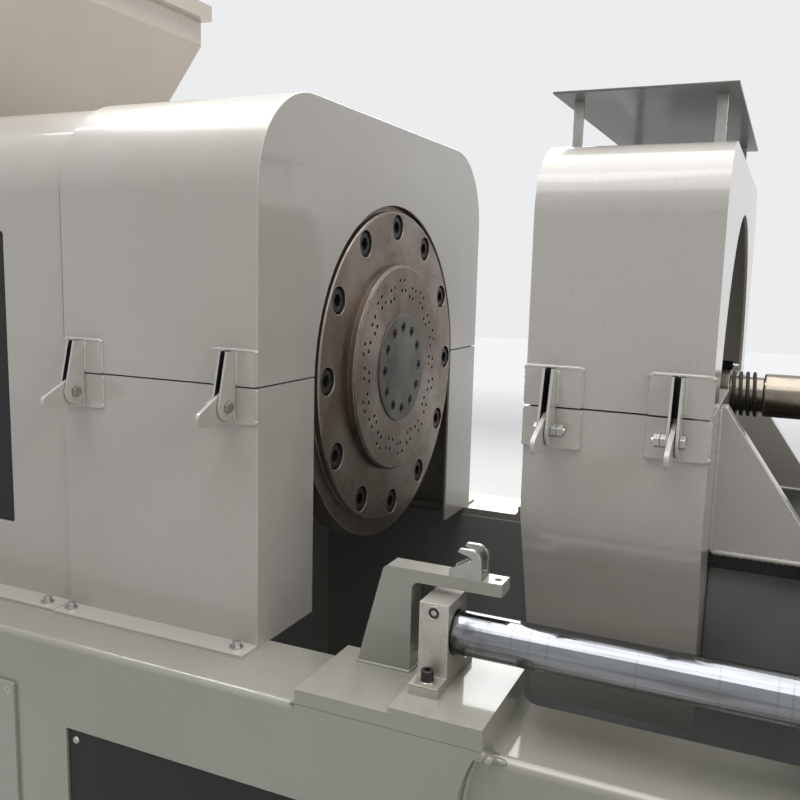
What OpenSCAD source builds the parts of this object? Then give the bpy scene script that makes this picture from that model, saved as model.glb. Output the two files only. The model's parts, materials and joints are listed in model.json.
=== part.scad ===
// Discharge end of a plastic extruder with a die-face pelletizer on a sliding carriage.
// Millimetres. X runs from the drive motor to the open end, Z is up from the floor,
// and Y = 0 is the screw axis. Near is the -Y side, where the covers hinge.

/* [Bed] */
// Length of the whole bed
bed_l = 3250; // [3200:10:3600]
// Width of the bed over both side beams
bed_w = 1006; // [990:2:1060]
// Height of the deck above the floor
deck_h = 670; // [620:5:760]
// Width of one side beam
beam_w = 156; // [150:1:165]
// Radius along the outer top edge of a beam
beam_edge_r = 10; // [4:1:20]
// Length of the bed from the die guard to its open end
rail_side_l = 1300; // [1290:5:1400]
// Height of the levelling feet under the bed
foot_h = 80; // [60:1:110]
// Radius of a levelling foot's pad
foot_pad_r = 50; // [35:1:60]
// Drop from the deck to the top of the rail beam
rail_drop = 16; // [10:1:30]
// How far the rail beam stands back from the bed's side
rail_inset = 23; // [15:1:30]
// Radius along the outer top edge of the rail beam
rail_edge_r = 12; // [8:1:25]
// Depth of the rail beam over its window
rail_depth = 100; // [80:2:130]
// Radius of the window's corners
window_r = 60; // [30:2:80]
// Radius of the curve in which the bed's side ends over the rail beam
side_end_r = 160; // [120:5:200]
// How much narrower the beam is beside the die than under the pads
deck_notch = 26; // [20:1:32]

/* [Bed panels] */
// Length of a dark panel let into the bed's side
side_panel_l = 470; // [380:5:480]
// Depth of the recess that holds the dark panel
panel_recess = 8; // [4:1:12]
// Drop from the deck to the dark panel
panel_drop = 117; // [100:1:140]
// Length of one bolted cover plate
plate_l = 560; // [450:5:570]
// Thickness of a bolted cover plate
plate_t = 5; // [3:1:8]

/* [Die] */
// Height of the die's axis above the deck
die_z = 330; // [325:1:334]
// Radius of the die's back ring
die_ring_r = 280; // [275:1:285]
// Radius of the die's bolted front ring
die_front_r = 253; // [252:1:255]
// Thickness of the back ring
die_ring_t = 40; // [32:1:50]
// Step from the back ring to the front ring
die_step = 12; // [8:1:16]
// Pitch circle radius of the twelve main screws
die_bolt_r = 228; // [224:1:229]
// Radius of a main screw's hole
die_hole_r = 13; // [11:0.5:13.5]
// Radius of a main screw's counterbore
die_cbore_r = 20.5; // [18:0.5:21]
// Depth of a main screw's counterbore
die_cbore_t = 24; // [20:1:28]
// Radius of the raised strand plate
strand_plate_r = 168; // [162:1:176]
// Height of the strand plate above the front ring
strand_plate_t = 12; // [8:1:16]
// Radius of one strand hole
strand_r = 3.75; // [2.5:0.25:4]
// Number of hole clusters round the strand plate
strand_clusters = 20; // [14:1:22]
// Middle radius of the strand holes
strand_ring_r = 131; // [126:1:136]
// Radius of the centre cap
cap_r = 88; // [80:1:94]
// Height of the centre cap above the strand plate
cap_rise = 2; // [1:0.5:4]
// Radius of the spigot that centres the strand plate
spigot_r = 150; // [145:1:156]
// Radius of the adapter's neck behind the die
adapter_r = 200; // [190:5:210]
// Radius of the adapter's bolted ring
adapter_ring_r = 250; // [240:5:260]
// Length of the adapter's neck
adapter_l = 170; // [150:5:180]

/* [Die guard] */
// Length of the hinged guard
guard_l = 315; // [300:1:340]
// Width of the guard
guard_w = 804; // [800:1:812]
// Height of the guard above the deck
guard_h = 715; // [705:1:740]
// Radius of the guard's top corners
guard_r = 135; // [110:1:150]
// Sheet thickness of the covers
sheet_t = 4; // [3:0.5:5]
// Height of the line where the covers part
parting_z = 340; // [338:0.5:344]
// Gap between an upper cover and its lower half
parting_gap = 2; // [1:0.25:2.5]
// Radius of the opening round the die
guard_hole_r = 262; // [258:1:268]
// Gap between the hinged guard and the barrel cover
seam_gap = 5; // [5:0.5:8]
// Width of the guard's foot flange
flange_w = 35; // [25:1:42]

/* [Barrel cover and hopper] */
// Length of the barrel cover
cover_l = 690; // [660:5:720]
// Step from the guard down to the barrel cover
cover_step = 4; // [2:0.5:8]
// Length of the dark panel in the cover's side
cover_panel_l = 440; // [380:5:480]
// Distance from the cover's motor end to the hopper's middle
hopper_in = 154; // [152:2:220]
// Length of the hopper's throat
throat_l = 240; // [200:5:250]
// Width of the hopper's throat
throat_w = 460; // [420:5:470]
// Length of the hopper's mouth
hopper_l = 440; // [400:5:470]
// Width of the hopper's mouth
hopper_w = 660; // [620:5:700]
// Height of the hopper's slope
hopper_slope_h = 248; // [220:2:300]
// Height of the upright band over the slope
hopper_band_h = 51; // [40:1:80]
// Height of the rim that stands out round the mouth
hopper_rim_h = 32; // [24:1:40]
// How far the rim stands out
hopper_rim_out = 17; // [10:1:25]

/* [Drive] */
// Length of the gearbox
gearbox_l = 370; // [340:5:380]
// Width of the gearbox
gearbox_w = 540; // [500:5:580]
// Height of the gearbox above the deck
gearbox_h = 640; // [600:5:680]
// Radius of the round flange between gearbox and barrel cover
thrust_r = 190; // [170:5:210]
// Radius of the round flange between gearbox and motor
lantern_r = 170; // [150:5:190]
// Radius over the motor's fins
motor_r = 225; // [200:1:240]
// Length of the finned part of the motor
motor_fin_l = 330; // [300:5:345]

/* [Guide rods] */
// Radius of a guide rod
rod_r = 25; // [20:0.5:30]
// Distance from the bed's side to each rod
rod_in = 95; // [91:1:98]
// Height of the rod's axis above the deck
rod_z = 82; // [78:1:88]
// Length of a rod support block along the rod
block_l = 35; // [32:1:44]
// Thickness of the raised pad under the bracket
pad_t = 18; // [12:1:20]
// Thickness of the packing under a rod support
shim_t = 6.5; // [4:0.5:8]
// Radial clearance of a rod in its linear bearing
bearing_gap = 0.05; // [0.02:0.01:0.08]

/* [Gooseneck bracket] */
// Thickness of the bracket's plate
neck_t = 30; // [24:1:34]
// Thickness of the bracket's arm
arm_t = 15; // [12:1:18]
// Height of the arm's top above the deck
arm_z = 145; // [142:1:150]
// Length of the keeper along the arm
keeper_l = 39; // [36:1:42]
// Height of the keeper's claws over the arm
keeper_h = 34; // [32:1:38]
// Thickness of one keeper claw
claw_t = 6; // [4:0.5:8]

/* [Pelletizer hood] */
// Distance from the die guard to the hood
hood_x = 323; // [320:1:330]
// Length of the hood
hood_l = 202; // [196:1:210]
// Width of the hood
hood_w = 680; // [672:1:684]
// Height of the hood above the deck
hood_h = 636; // [620:1:660]
// Radius of the hood's top corners
hood_r = 82; // [60:1:100]
// Height of the fold where the skirt starts to narrow
fold_z = 214; // [205:1:224]
// Angle of the skirt from upright
skirt_angle = 19; // [16:0.5:21]
// Depth of the skirt below the deck
skirt_drop = 60; // [40:1:80]
// Radius of the opening in the hood's back
hood_hole_r = 245; // [235:1:250]
// Width of the turned-in edge at the hood's front
hood_lip = 30; // [20:1:34]
// Height of the sheet's posts above the hood
post_h = 60; // [40:1:80]

/* [Cover hinges] */
// Width of a hinge's doubler plate
doubler_w = 64; // [60:1:64]
// Height of one doubler plate
doubler_h = 44; // [40:1:50]
// Distance from the cover's wall to the hinge pin
pin_out = 22.5; // [22:0.5:24]
// Drop from the parting line to the hinge pin
pin_drop = 23; // [22:0.5:24]
// Radius of the hinge pin
pin_r = 4; // [3:0.5:5]
// Radius of an ear's round end
ear_r = 17; // [15:0.5:17.5]
// Thickness of one ear
ear_t = 3; // [2.5:0.5:4]
// Thickness of the fixed leaf between the ears
leaf_t = 5; // [4:0.5:6]
// Reach of the leaf from the cover's wall
leaf_out = 75; // [68:1:80]
// Opening angle at which a cover rests on its leaves
open_angle = 115; // [110:1:120]

/* [Carriage] */
// Thickness of the carriage plate
carriage_t = 19; // [16:1:22]
// Height of the carriage plate's top above the deck
carriage_z = 160; // [156:1:168]
// Half the distance over the gussets
gusset_y = 215; // [205:1:225]
// Thickness of a gusset
gusset_t = 30; // [16:1:34]
// Length of a gusset's foot
gusset_l = 125; // [100:5:150]
// Radius of the round part of the bearing housing
housing_r = 75; // [65:1:85]
// Radius of the cutter's motor
cutter_r = 105; // [90:5:115]
// Travel of the carriage towards the die
travel_in = 305; // [290:1:308]
// Thickness of the hood's back plate
back_t = 16; // [12:1:20]

/* [Knife shaft] */
// Radius of the knife shaft
shaft_r = 30; // [26:0.5:32]
// Radius of the shaft's neck under the spring
neck_r = 24; // [21:0.5:24.5]
// Radius of the spring's wire
wire_r = 2.4; // [2:0.1:2.8]
// Number of turns in the spring
spring_turns = 4; // [3:1:5]
// Radius over the knives
knife_r = 158; // [152:1:165]
// Number of knives
knife_count = 6; // [3:1:8]

/* [Hidden] */
$fn = 96;

// Frame: the datum is the guard's front face, on the screw axis, at deck level.
datum_x = bed_l / 2 - rail_side_l;
bed_x0 = -bed_l / 2 - datum_x;
bed_x1 = rail_side_l;
bed_half = bed_w / 2;
inner_half = bed_half - beam_w;
bed_bottom = foot_h - deck_h;
seat_gap = 0.3;
skin = 0.5;

// Side beams, rail frames and panels
pad_x0 = 117;
pad_x1 = 340;
notch_x1 = pad_x0 + 33;
notch_half = inner_half + deck_notch;
pad_foot_r = 8;
rail_top = -rail_drop;
rail_half = bed_half - rail_inset;
window_x1 = bed_x1 - 110;
window_z0 = bed_bottom + 90;
side_end_x0 = pad_x1 - 27;
side_end_top = side_end_r / 2 - 5;
panel_x0 = -231;
panel_h = 410;
plate_x1 = -319;
plate_drop = 74;
plate_h = 446;
plate_step = 571;
plate_count = 2;
liner_t = 4;
liner_drop = 14;
cross_t = 20;
deck_t = 20;
foot_in = 90;
foot_stud_r = 14;
foot_pad_t = 20;
foot_y = bed_half - beam_w / 2;
foot_count = 5;

// Covers
guard_half = guard_w / 2;
cover_half = guard_half - cover_step;
cover_h = guard_h - cover_step;
cover_x1 = -guard_l - seam_gap;
cover_x0 = cover_x1 - cover_l;
cover_panel_z0 = 105;
cover_panel_z1 = 530;
cover_panel_x1 = cover_x1 - 109;
hopper_x = cover_x0 + hopper_in;
throat_depth = 220;
hopper_flange_w = 25;
hopper_flange_t = 10;
upper_z = parting_z + parting_gap / 2;
lower_z = parting_z - parting_gap / 2;

// Drive
gearbox_x1 = cover_x0 - 20;
gearbox_x0 = gearbox_x1 - gearbox_l;
gearbox_half = gearbox_w / 2;
gearbox_base_t = 28;
gearbox_base_out = 40;
gearbox_split_out = 26;
gearbox_rib_out = 22;
motor_x1 = gearbox_x0 - 40;
fin_root_r = motor_r - 28;
fin_count = 40;
fin_t = 6;
shield_l = 34;
cowl_l = 90;
terminal_half = 95;
terminal_l = 210;
motor_x0 = motor_x1 - motor_fin_l - 2 * shield_l - cowl_l;
pedestal_h = 70;

// Die, from the guard's face back
front_x = 2;
ring_x1 = front_x - die_step;
ring_x0 = ring_x1 - die_ring_t;
strand_x1 = front_x + strand_plate_t;
spigot_x0 = ring_x0 + 12;
cap_seat = 8;
cap_x1 = strand_x1 + cap_rise;
bolt_count = 12;
cap_bolt_r = 67;
cap_screw_r = 8.5;
adapter_ring_t = 66;

// Rods and what carries them
rod_y = bed_half - rod_in;
block_x0 = 240;
block_half = 30;
block_top = rod_z + 40;
block_foot_half = 57;
block_foot_t = 12;
shim_x0 = 233;
end_block_x0 = bed_x1 - 120;
end_pad_out = 20;
rod_x0 = block_x0 + 6;
rod_x1 = end_block_x0 + block_l;
shim_top = pad_t + shim_t;

// Gooseneck bracket and keeper
neck_y = rod_y - 2;
neck_x0 = 147;
neck_x1 = 216;
neck_top_x = 178;
arm_x1 = 325;
arm_fillet = 9;
arm_hole_in = 9;
arm_hole_r = 4;
keeper_x0 = 261;
keeper_plate_t = 5;
lip_low = 7;
lip_rise = 0.59;
throat_in = 14.5;
throat_z = 23;
throat_r = 2.8;
hook_r = 14;
hook_tip_in = 10.5;
hook_tip_t = 4;

// Hood and carriage
hood_x1 = hood_x + hood_l;
hood_half = hood_w / 2;
skirt_half = hood_half - (fold_z + skirt_drop) * tan(skirt_angle);
back_x0 = hood_x1 - back_t;
sheet_x0 = hood_x - 5;
sheet_l = hood_l + 2;
sheet_half = 267;
post_w = 12;
post_t = 3;
wide_x0 = 640;
carriage_x1 = 1000;
wide_half = bed_half - 48;
plate_low = carriage_z - carriage_t;
box_half = 200;
box_low = -12;
bearing_l = 100;
bearing_xs = [660, 880];
bearing_half = 42;
bearing_low = rod_z - 42;

// Hinges
guard_hinge_xs = [-280, -33.5];
hood_hinge_xs = [hood_x + doubler_w / 2 + 0.5, hood_x1 - doubler_w / 2];
ear_shift = -2;
leaf_play = 0.8;
ear_x = leaf_t / 2 + leaf_play;
pin_fit = 0.05;
nut_af = 13;
nut_t = 6.5;
nut_gap = 0.3;
pin_z = parting_z - pin_drop;
stop_slope = open_angle - 90;
stop_rise = (pin_out - sheet_t - seat_gap) / cos(stop_slope);
leaf_tip_r = 10;
leaf_tip_d = leaf_out - leaf_tip_r;
leaf_tip_z = pin_z + stop_rise - (leaf_tip_d - pin_out) * tan(stop_slope)
    - leaf_tip_r / cos(stop_slope);

// Knife shaft and rotor
knife_x0 = cap_x1 + 6 + travel_in;
knife_t = 6;
knife_w = 60;
head_x0 = knife_x0 + 14;
head_l = 40;
head_r = 118;
hub_r = 48;
collar_x0 = head_x0 + head_l;
collar_x1 = hood_x1 - 2;
collar_r = 31;
spring_x1 = collar_x1 + 44;
housing_x0 = 662;
housing_l = 190;
housing_foot_out = 45;
housing_foot_t = 22;
coupling_x0 = housing_x0 + housing_l + 10;
coupling_l = 60;
coupling_r = 52;
cutter_x0 = coupling_x0 + coupling_l + 8;
cutter_l = 230;
cutter_cap_l = 60;
cutter_flange_t = 22;
shaft_x1 = cutter_x0 - seat_gap;

// Helpers: placing, mirroring and extruding along an axis
module place() translate([datum_x, 0, deck_h]) children();
module far_side() mirror([0, 1, 0]) children();
module both_sides() {
    children();
    far_side() children();
}
module along_x(x0, x1) translate([x0, 0, 0]) rotate([90, 0, 90]) linear_extrude(x1 - x0) children();
module along_y(y0, y1) translate([0, y1, 0]) rotate([90, 0, 0]) linear_extrude(y1 - y0) children();
module block(x0, x1, y0, y1, z0, z1) translate([x0, y0, z0]) cube([x1 - x0, y1 - y0, z1 - z0]);
module disc(x0, x1, r) translate([x0, 0, die_z]) rotate([0, 90, 0]) cylinder(h = x1 - x0, r = r);
module cone(x0, x1, r0, r1)
    translate([x0, 0, die_z]) rotate([0, 90, 0]) cylinder(h = x1 - x0, r1 = r0, r2 = r1);
module rod(x0, x1, y, z, r) translate([x0, y, z]) rotate([0, 90, 0]) cylinder(h = x1 - x0, r = r);

// A rectangle with round corners
module round_rect(x0, x1, z0, z1, r) {
    translate([x0 + r, z0]) square([x1 - x0 - 2 * r, z1 - z0]);
    translate([x0, z0 + r]) square([x1 - x0, z1 - z0 - 2 * r]);
    for (x = [x0 + r, x1 - r], z = [z0 + r, z1 - r]) translate([x, z]) circle(r);
}

// The arched section that all covers share: flat top, round shoulders, upright sides
module arch(half, top, r, low) {
    translate([-half, low]) square([2 * half, top - r - low]);
    translate([-half + r, low]) square([2 * (half - r), top - low]);
    for (s = [-1, 1]) translate([s * (half - r), top - r]) circle(r);
}

// A doorway with a round head on the die's axis
module round_doorway(r, low) {
    translate([0, die_z]) circle(r);
    translate([-r, low]) square([2 * r, die_z - low]);
}

// A beam's section with one round outer top edge, outer side at -outer
module beam_section(outer, inner, low, top, r) {
    translate([-outer, low]) square([outer - inner, top - r - low]);
    translate([-outer + r, low]) square([outer - inner - r, top - low]);
    translate([-outer + r, top - r]) circle(r);
}

// Bed
module side_beam() {
    difference() {
        along_x(bed_x0, pad_x1) beam_section(bed_half, inner_half, bed_bottom, 0, beam_edge_r);
        along_y(-bed_half - 1, -bed_half + panel_recess)
            round_rect(panel_x0, panel_x0 + side_panel_l, -panel_drop - panel_h, -panel_drop, 3);
        along_y(-bed_half - 1, -rail_half)
            round_rect(side_end_x0, side_end_x0 + 3 * side_end_r, window_z0, side_end_top, side_end_r);
        deck_notch_cut();
    }
}

// The beams and pads stand a little further apart beside the die
module deck_notch_cut() block(cover_x1, notch_x1, -notch_half, -inner_half + 1, bed_bottom - 1, pad_t + 1);
module rail_frame() {
    difference() {
        along_x(pad_x1, bed_x1) beam_section(rail_half, inner_half, bed_bottom, rail_top, rail_edge_r);
        along_y(-bed_half, -inner_half - 12)
            round_rect(pad_x1 + 40, window_x1, window_z0, rail_top - rail_depth, window_r);
    }
}
module side_beam_near() color("gainsboro") place() side_beam();
module side_beam_far() color("gainsboro") place() far_side() side_beam();
module rail_frame_near() color("gainsboro") place() rail_frame();
module rail_frame_far() color("gainsboro") place() far_side() rail_frame();
module bed_cross_members() color("dimgray") place() {
    block(bed_x0, bed_x0 + cross_t, -inner_half, inner_half, bed_bottom, -deck_t);
    block(cover_x1 - cross_t, cover_x1, -inner_half, inner_half, bed_bottom, -seat_gap);
    block(cover_x0, cover_x0 + cross_t, -inner_half, inner_half, bed_bottom, -deck_t);
    block(bed_x1 - cross_t, bed_x1, -inner_half, inner_half, bed_bottom, rail_top - rail_depth);
    block(pad_x1, pad_x1 + 90, -inner_half, inner_half, bed_bottom, bed_bottom + 90);
}
module deck_plate() color("gainsboro") place()
    block(bed_x0, cover_x1 - cross_t, -inner_half, inner_half, -deck_t, 0);
module bed_liners() color("dimgray") place() both_sides() {
    liner_z0 = bed_bottom + 90;
    block(cover_x1, notch_x1, -notch_half, -notch_half + liner_t, liner_z0, -liner_drop);
    block(notch_x1, bed_x1 - cross_t, -inner_half, -inner_half + liner_t, liner_z0, rail_top - liner_drop);
}
module bed_dark_panels() color("darkslategray") place() both_sides()
    along_y(-bed_half + panel_recess - 5, -bed_half + panel_recess)
        round_rect(panel_x0 + 2, panel_x0 + side_panel_l - 2, -panel_drop - panel_h + 2, -panel_drop - 2, 2);
module bed_cover_plates() color("silver") place() both_sides()
    for (i = [0 : plate_count - 1])
        along_y(-bed_half - plate_t, -bed_half)
            round_rect(plate_x1 - plate_l - i * plate_step, plate_x1 - i * plate_step,
                -plate_drop - plate_h, -plate_drop, 4);
module levelling_feet() color("dimgray") place() both_sides()
    for (i = [0 : foot_count - 1])
        translate([bed_x0 + foot_in + i * (bed_l - 2 * foot_in) / (foot_count - 1), -foot_y, -deck_h]) {
            cylinder(h = foot_pad_t, r = foot_pad_r);
            cylinder(h = foot_h, r = foot_stud_r);
            translate([0, 0, foot_h - 24]) cylinder(h = 18, r = foot_stud_r * 1.6, $fn = 6);
        }

// Barrel cover, hopper and drive
module barrel_cover() color("gainsboro") place() {
    difference() {
        along_x(cover_x0, cover_x1) arch(cover_half, cover_h, guard_r, 0);
        both_sides() along_y(-cover_half - 1, -cover_half + panel_recess)
            round_rect(cover_panel_x1 - cover_panel_l, cover_panel_x1, cover_panel_z0, cover_panel_z1, 6);
        block(hopper_x - throat_l / 2, hopper_x + throat_l / 2, -throat_w / 2, throat_w / 2,
            cover_h - throat_depth, cover_h + 1);
    }
    both_sides() block(cover_x0, cover_x1, -cover_half - flange_w, -cover_half + 1, 0, sheet_t);
}
module barrel_cover_panels() color("darkslategray") place() both_sides()
    along_y(-cover_half + panel_recess - 4, -cover_half + panel_recess)
        round_rect(cover_panel_x1 - cover_panel_l + 1, cover_panel_x1 - 1,
            cover_panel_z0 + 1, cover_panel_z1 - 1, 5);

// A rectangular funnel and a straight duct, hollow when smaller ones are taken away
module slope_outline(low, top, h) polygon([[-low / 2, 0], [low / 2, 0], [top / 2, h], [-top / 2, h]]);
module funnel(foot, mouth, h) intersection() {
    along_x(-mouth[0], mouth[0]) slope_outline(foot[1], mouth[1], h);
    along_y(-mouth[1], mouth[1]) slope_outline(foot[0], mouth[0], h);
}
module duct(size, z0, z1) translate([0, 0, z0]) linear_extrude(z1 - z0) square(size, center = true);
function grown(size, by) = [size[0] + 2 * by, size[1] + 2 * by];
module hopper() color("beige") place() translate([hopper_x, 0, cover_h]) {
    foot = [throat_l, throat_w];
    mouth = [hopper_l, hopper_w];
    band_z = hopper_flange_t + hopper_slope_h;
    rim_z = band_z + hopper_band_h;
    difference() {
        union() {
            duct(grown(foot, hopper_flange_w), 0, hopper_flange_t);
            translate([0, 0, hopper_flange_t]) funnel(foot, mouth, hopper_slope_h);
            duct(mouth, band_z, rim_z);
            duct(grown(mouth, hopper_rim_out), rim_z, rim_z + hopper_rim_h);
        }
        duct(grown(foot, -sheet_t), -1, hopper_flange_t + 1);
        translate([0, 0, hopper_flange_t])
            funnel(grown(foot, -sheet_t), grown(mouth, -sheet_t), hopper_slope_h + 0.01);
        duct(grown(mouth, -sheet_t), band_z, rim_z + hopper_rim_h + 1);
    }
}

module gearbox() color("steelblue") place() {
    split_t = 34;
    rib_count = 5;
    rib_t = 14;
    shoulder_r = 60;
    x0 = gearbox_x0 - 10;
    x1 = gearbox_x1 + 10;
    base = gearbox_half + gearbox_base_out;
    split = gearbox_half + gearbox_split_out;
    along_x(gearbox_x0, gearbox_x1) arch(gearbox_half, gearbox_h, shoulder_r, 0);
    block(x0, x1, -base, base, 0, gearbox_base_t);
    block(x0, x1, -split, split, die_z - split_t / 2, die_z + split_t / 2);
    both_sides()
        for (i = [0 : rib_count - 1]) {
            x = gearbox_x0 + 2 * rib_t + i * (gearbox_l - 5 * rib_t) / (rib_count - 1);
            block(x, x + rib_t, -gearbox_half - gearbox_rib_out, -gearbox_half + 1, gearbox_base_t - 1,
                gearbox_h - 1.5 * shoulder_r);
        }
    disc(gearbox_x1 - 1, cover_x0, thrust_r);
    disc(motor_x1, gearbox_x0 + 1, lantern_r);
}
module motor_fins(r0, r1, count, t) {
    circle(r0);
    for (i = [0 : count - 1])
        rotate(i * 360 / count) translate([r0 - 4, -t / 2]) square([r1 - r0 + 4, t]);
}
module drive_motor() color("steelblue") place() {
    shield_x = motor_x1 - shield_l;
    fins_x0 = shield_x - motor_fin_l;
    disc(shield_x, motor_x1, motor_r);
    translate([0, 0, die_z]) along_x(fins_x0, shield_x) motor_fins(fin_root_r, motor_r - 4, fin_count, fin_t);
    disc(fins_x0 - shield_l, fins_x0, motor_r);
    disc(motor_x0 + 14, fins_x0 - shield_l, motor_r - 3);
    cone(motor_x0, motor_x0 + 14, motor_r - 24, motor_r - 3);
    block(fins_x0 + terminal_half / 2, fins_x0 + terminal_half / 2 + terminal_l, -terminal_half, terminal_half,
        die_z + fin_root_r - 20, die_z + motor_r + terminal_half);
    both_sides()
        for (x = [fins_x0 + 20, shield_x - 80])
            block(x, x + 60, -motor_r + 15, -motor_r / 2 + 20, pedestal_h, die_z - motor_r / 2 + 10);
}
module motor_pedestal() color("gainsboro") place()
    block(motor_x0 + 60, motor_x1 - 10, -motor_r + 5, motor_r - 5, 0, pedestal_h);

// Die: adapter, rings, strand plate and centre cap, all turned about the screw axis
module around_die(count, r, x0) {
    for (i = [0 : count - 1])
        translate([x0, 0, die_z]) rotate([i * 360 / count, 0, 0])
            translate([0, 0, r]) rotate([0, 90, 0]) children();
}
module die_adapter() color("dimgray") place() {
    ring_x = ring_x0 - adapter_l;
    disc(ring_x, ring_x0, adapter_r);
    disc(ring_x - adapter_ring_t, ring_x, adapter_ring_r);
    disc(cover_x1, ring_x - adapter_ring_t, adapter_r - 40);
}
module die_rings() color("rosybrown") place() difference() {
    union() {
        disc(ring_x0, ring_x1, die_ring_r);
        disc(ring_x1, front_x - 2, die_front_r);
        cone(front_x - 2, front_x, die_front_r, die_front_r - 2);
    }
    disc(spigot_x0, front_x + 1, spigot_r);
    around_die(bolt_count, die_bolt_r, ring_x0 - 1) cylinder(h = die_ring_t + die_step + 2, r = die_hole_r);
    around_die(bolt_count, die_bolt_r, front_x - die_cbore_t) cylinder(h = die_cbore_t + 1, r = die_cbore_r);
}

// Strand holes come in slanted clusters of four, every other one set further out, so that the ring of holes
// runs in a zigzag
cluster_row = 8;
cluster_shift = 4;
cluster_pitch = 6.4;
cluster_lean = 3;
function cluster_hole(k, row, side) =
    let (turn = k % 2 == 0 ? 1 : -1)
        [
            strand_ring_r + (row - 0.5) * 2 * cluster_row + turn * cluster_shift,
            k * 360 / strand_clusters + (side - 0.5) * cluster_pitch + (row - 0.5) * cluster_lean * turn,
        ];
module strand_plate() color("rosybrown") place() difference() {
    union() {
        disc(spigot_x0, front_x, spigot_r - seat_gap / 3);
        disc(front_x, strand_x1 - 3, strand_plate_r);
        cone(strand_x1 - 3, strand_x1, strand_plate_r, strand_plate_r - 3);
    }
    disc(strand_x1 - cap_seat, strand_x1 + 1, cap_r + seat_gap / 3);
    for (k = [0 : strand_clusters - 1], row = [0, 1], side = [0, 1])
        let (h = cluster_hole(k, row, side))
            translate([spigot_x0 - 1, 0, die_z]) rotate([h[1], 0, 0]) translate([0, 0, h[0]])
                rotate([0, 90, 0]) cylinder(h = strand_x1 - spigot_x0 + 2, r = strand_r, $fn = 24);
}
module centre_cap() color("rosybrown") place() difference() {
    union() {
        disc(strand_x1 - cap_seat, cap_x1 - 1, cap_r);
        cone(cap_x1 - 1, cap_x1, cap_r, cap_r - 1);
    }
    around_die(bolt_count, cap_bolt_r, cap_x1 - 7) cylinder(h = 8, r = cap_screw_r, $fn = 48);
}

// Hinge pieces, drawn in the plane across the hinge: first axis outward from the wall, second up
module ear_outline() {
    translate([pin_out, pin_z]) circle(ear_r);
    polygon([
        [pin_out - ear_r, pin_z], [pin_out + ear_r, pin_z], [pin_out, upper_z + doubler_h],
        [sheet_t - skin, upper_z + doubler_h], [sheet_t - skin, upper_z], [pin_out - ear_r, upper_z],
    ]);
}
module leaf_outline() {
    low = lower_z - doubler_h;
    translate([leaf_tip_d, leaf_tip_z]) circle(leaf_tip_r);
    polygon([
        [sheet_t - skin, low], [sheet_t - skin, lower_z - 3],
        [pin_out - (lower_z - 3 - pin_z - stop_rise) / tan(stop_slope), lower_z - 3],
        [leaf_tip_d + leaf_tip_r * sin(stop_slope), leaf_tip_z + leaf_tip_r * cos(stop_slope)],
        [leaf_tip_d, leaf_tip_z - leaf_tip_r],
    ]);
}

// Stands a hinge outline on a wall at -half, x0 to x1
module on_wall(half, x0, x1) translate([0, -half, 0]) mirror([0, 1, 0]) along_x(x0, x1) children();
module pin_bore(half, x) rod(x - 40, x + 40, -half - pin_out, pin_z, pin_r + pin_fit);
module doubler(half, x, z)
    block(x - doubler_w / 2, x + doubler_w / 2, -half - sheet_t, -half + skin, z, z + doubler_h);

// The moving half of each hinge: doubler plate and two ears
module hinge_ears(half, xs) {
    for (x = xs)
        difference() {
            union() {
                doubler(half, x, upper_z);
                for (e = [ear_x, -ear_x - ear_t])
                    on_wall(half, x + ear_shift + e, x + ear_shift + e + ear_t) ear_outline();
            }
            pin_bore(half, x + ear_shift);
        }
}

// The fixed half: doubler plate and one leaf with a sloping stop edge
module hinge_leaves(half, xs) {
    for (x = xs)
        difference() {
            union() {
                doubler(half, x, lower_z - doubler_h);
                on_wall(half, x + ear_shift - leaf_t / 2, x + ear_shift + leaf_t / 2) leaf_outline();
            }
            pin_bore(half, x + ear_shift);
        }
}

// One hinge pin with a hexagon head at one end and two nuts at the other
module hinge_pin(half, x, head_side) {
    out = ear_x + ear_t + nut_gap;
    hex_r = nut_af / 2 / cos(30);
    translate([x + ear_shift, -half - pin_out, pin_z]) scale([head_side, 1, 1]) rotate([0, 90, 0]) {
        translate([0, 0, -out - 2 * nut_t - 3]) cylinder(h = 2 * out + 2 * nut_t + 3, r = pin_r);
        translate([0, 0, out]) cylinder(h = nut_t - 1, r = hex_r, $fn = 6);
        translate([0, 0, -out - nut_t]) cylinder(h = nut_t, r = hex_r, $fn = 6);
        translate([0, 0, -out - 2 * nut_t - 0.6]) cylinder(h = nut_t, r = hex_r, $fn = 6);
    }
}

// Die guard: folded sheet with a plate across its front
module guard_shell(x0, low, high) intersection() {
    difference() {
        along_x(x0, 0) arch(guard_half, guard_h, guard_r, 0);
        along_x(x0 - 1, -sheet_t) arch(guard_half - sheet_t, guard_h - sheet_t, guard_r - sheet_t, -1);
        along_x(-2 * sheet_t, 1) round_doorway(guard_hole_r, -1);
    }
    block(x0 - 1, 1, -guard_half - 1, guard_half + 1, low, high);
}
module guard_lower() color("gainsboro") place() {
    guard_shell(-guard_l - 3, 0, lower_z);
    both_sides() block(-guard_l - 3, 0, -guard_half - flange_w, -guard_half + skin, 0, sheet_t);
    hinge_leaves(guard_half, guard_hinge_xs);
}
module guard_cover() color("gainsboro") place() {
    guard_shell(-guard_l, upper_z, guard_h + 1);
    hinge_ears(guard_half, guard_hinge_xs);
}
module guard_hinge_pins() color("silver") place()
    for (x = guard_hinge_xs) hinge_pin(guard_half, x, 1);

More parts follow.
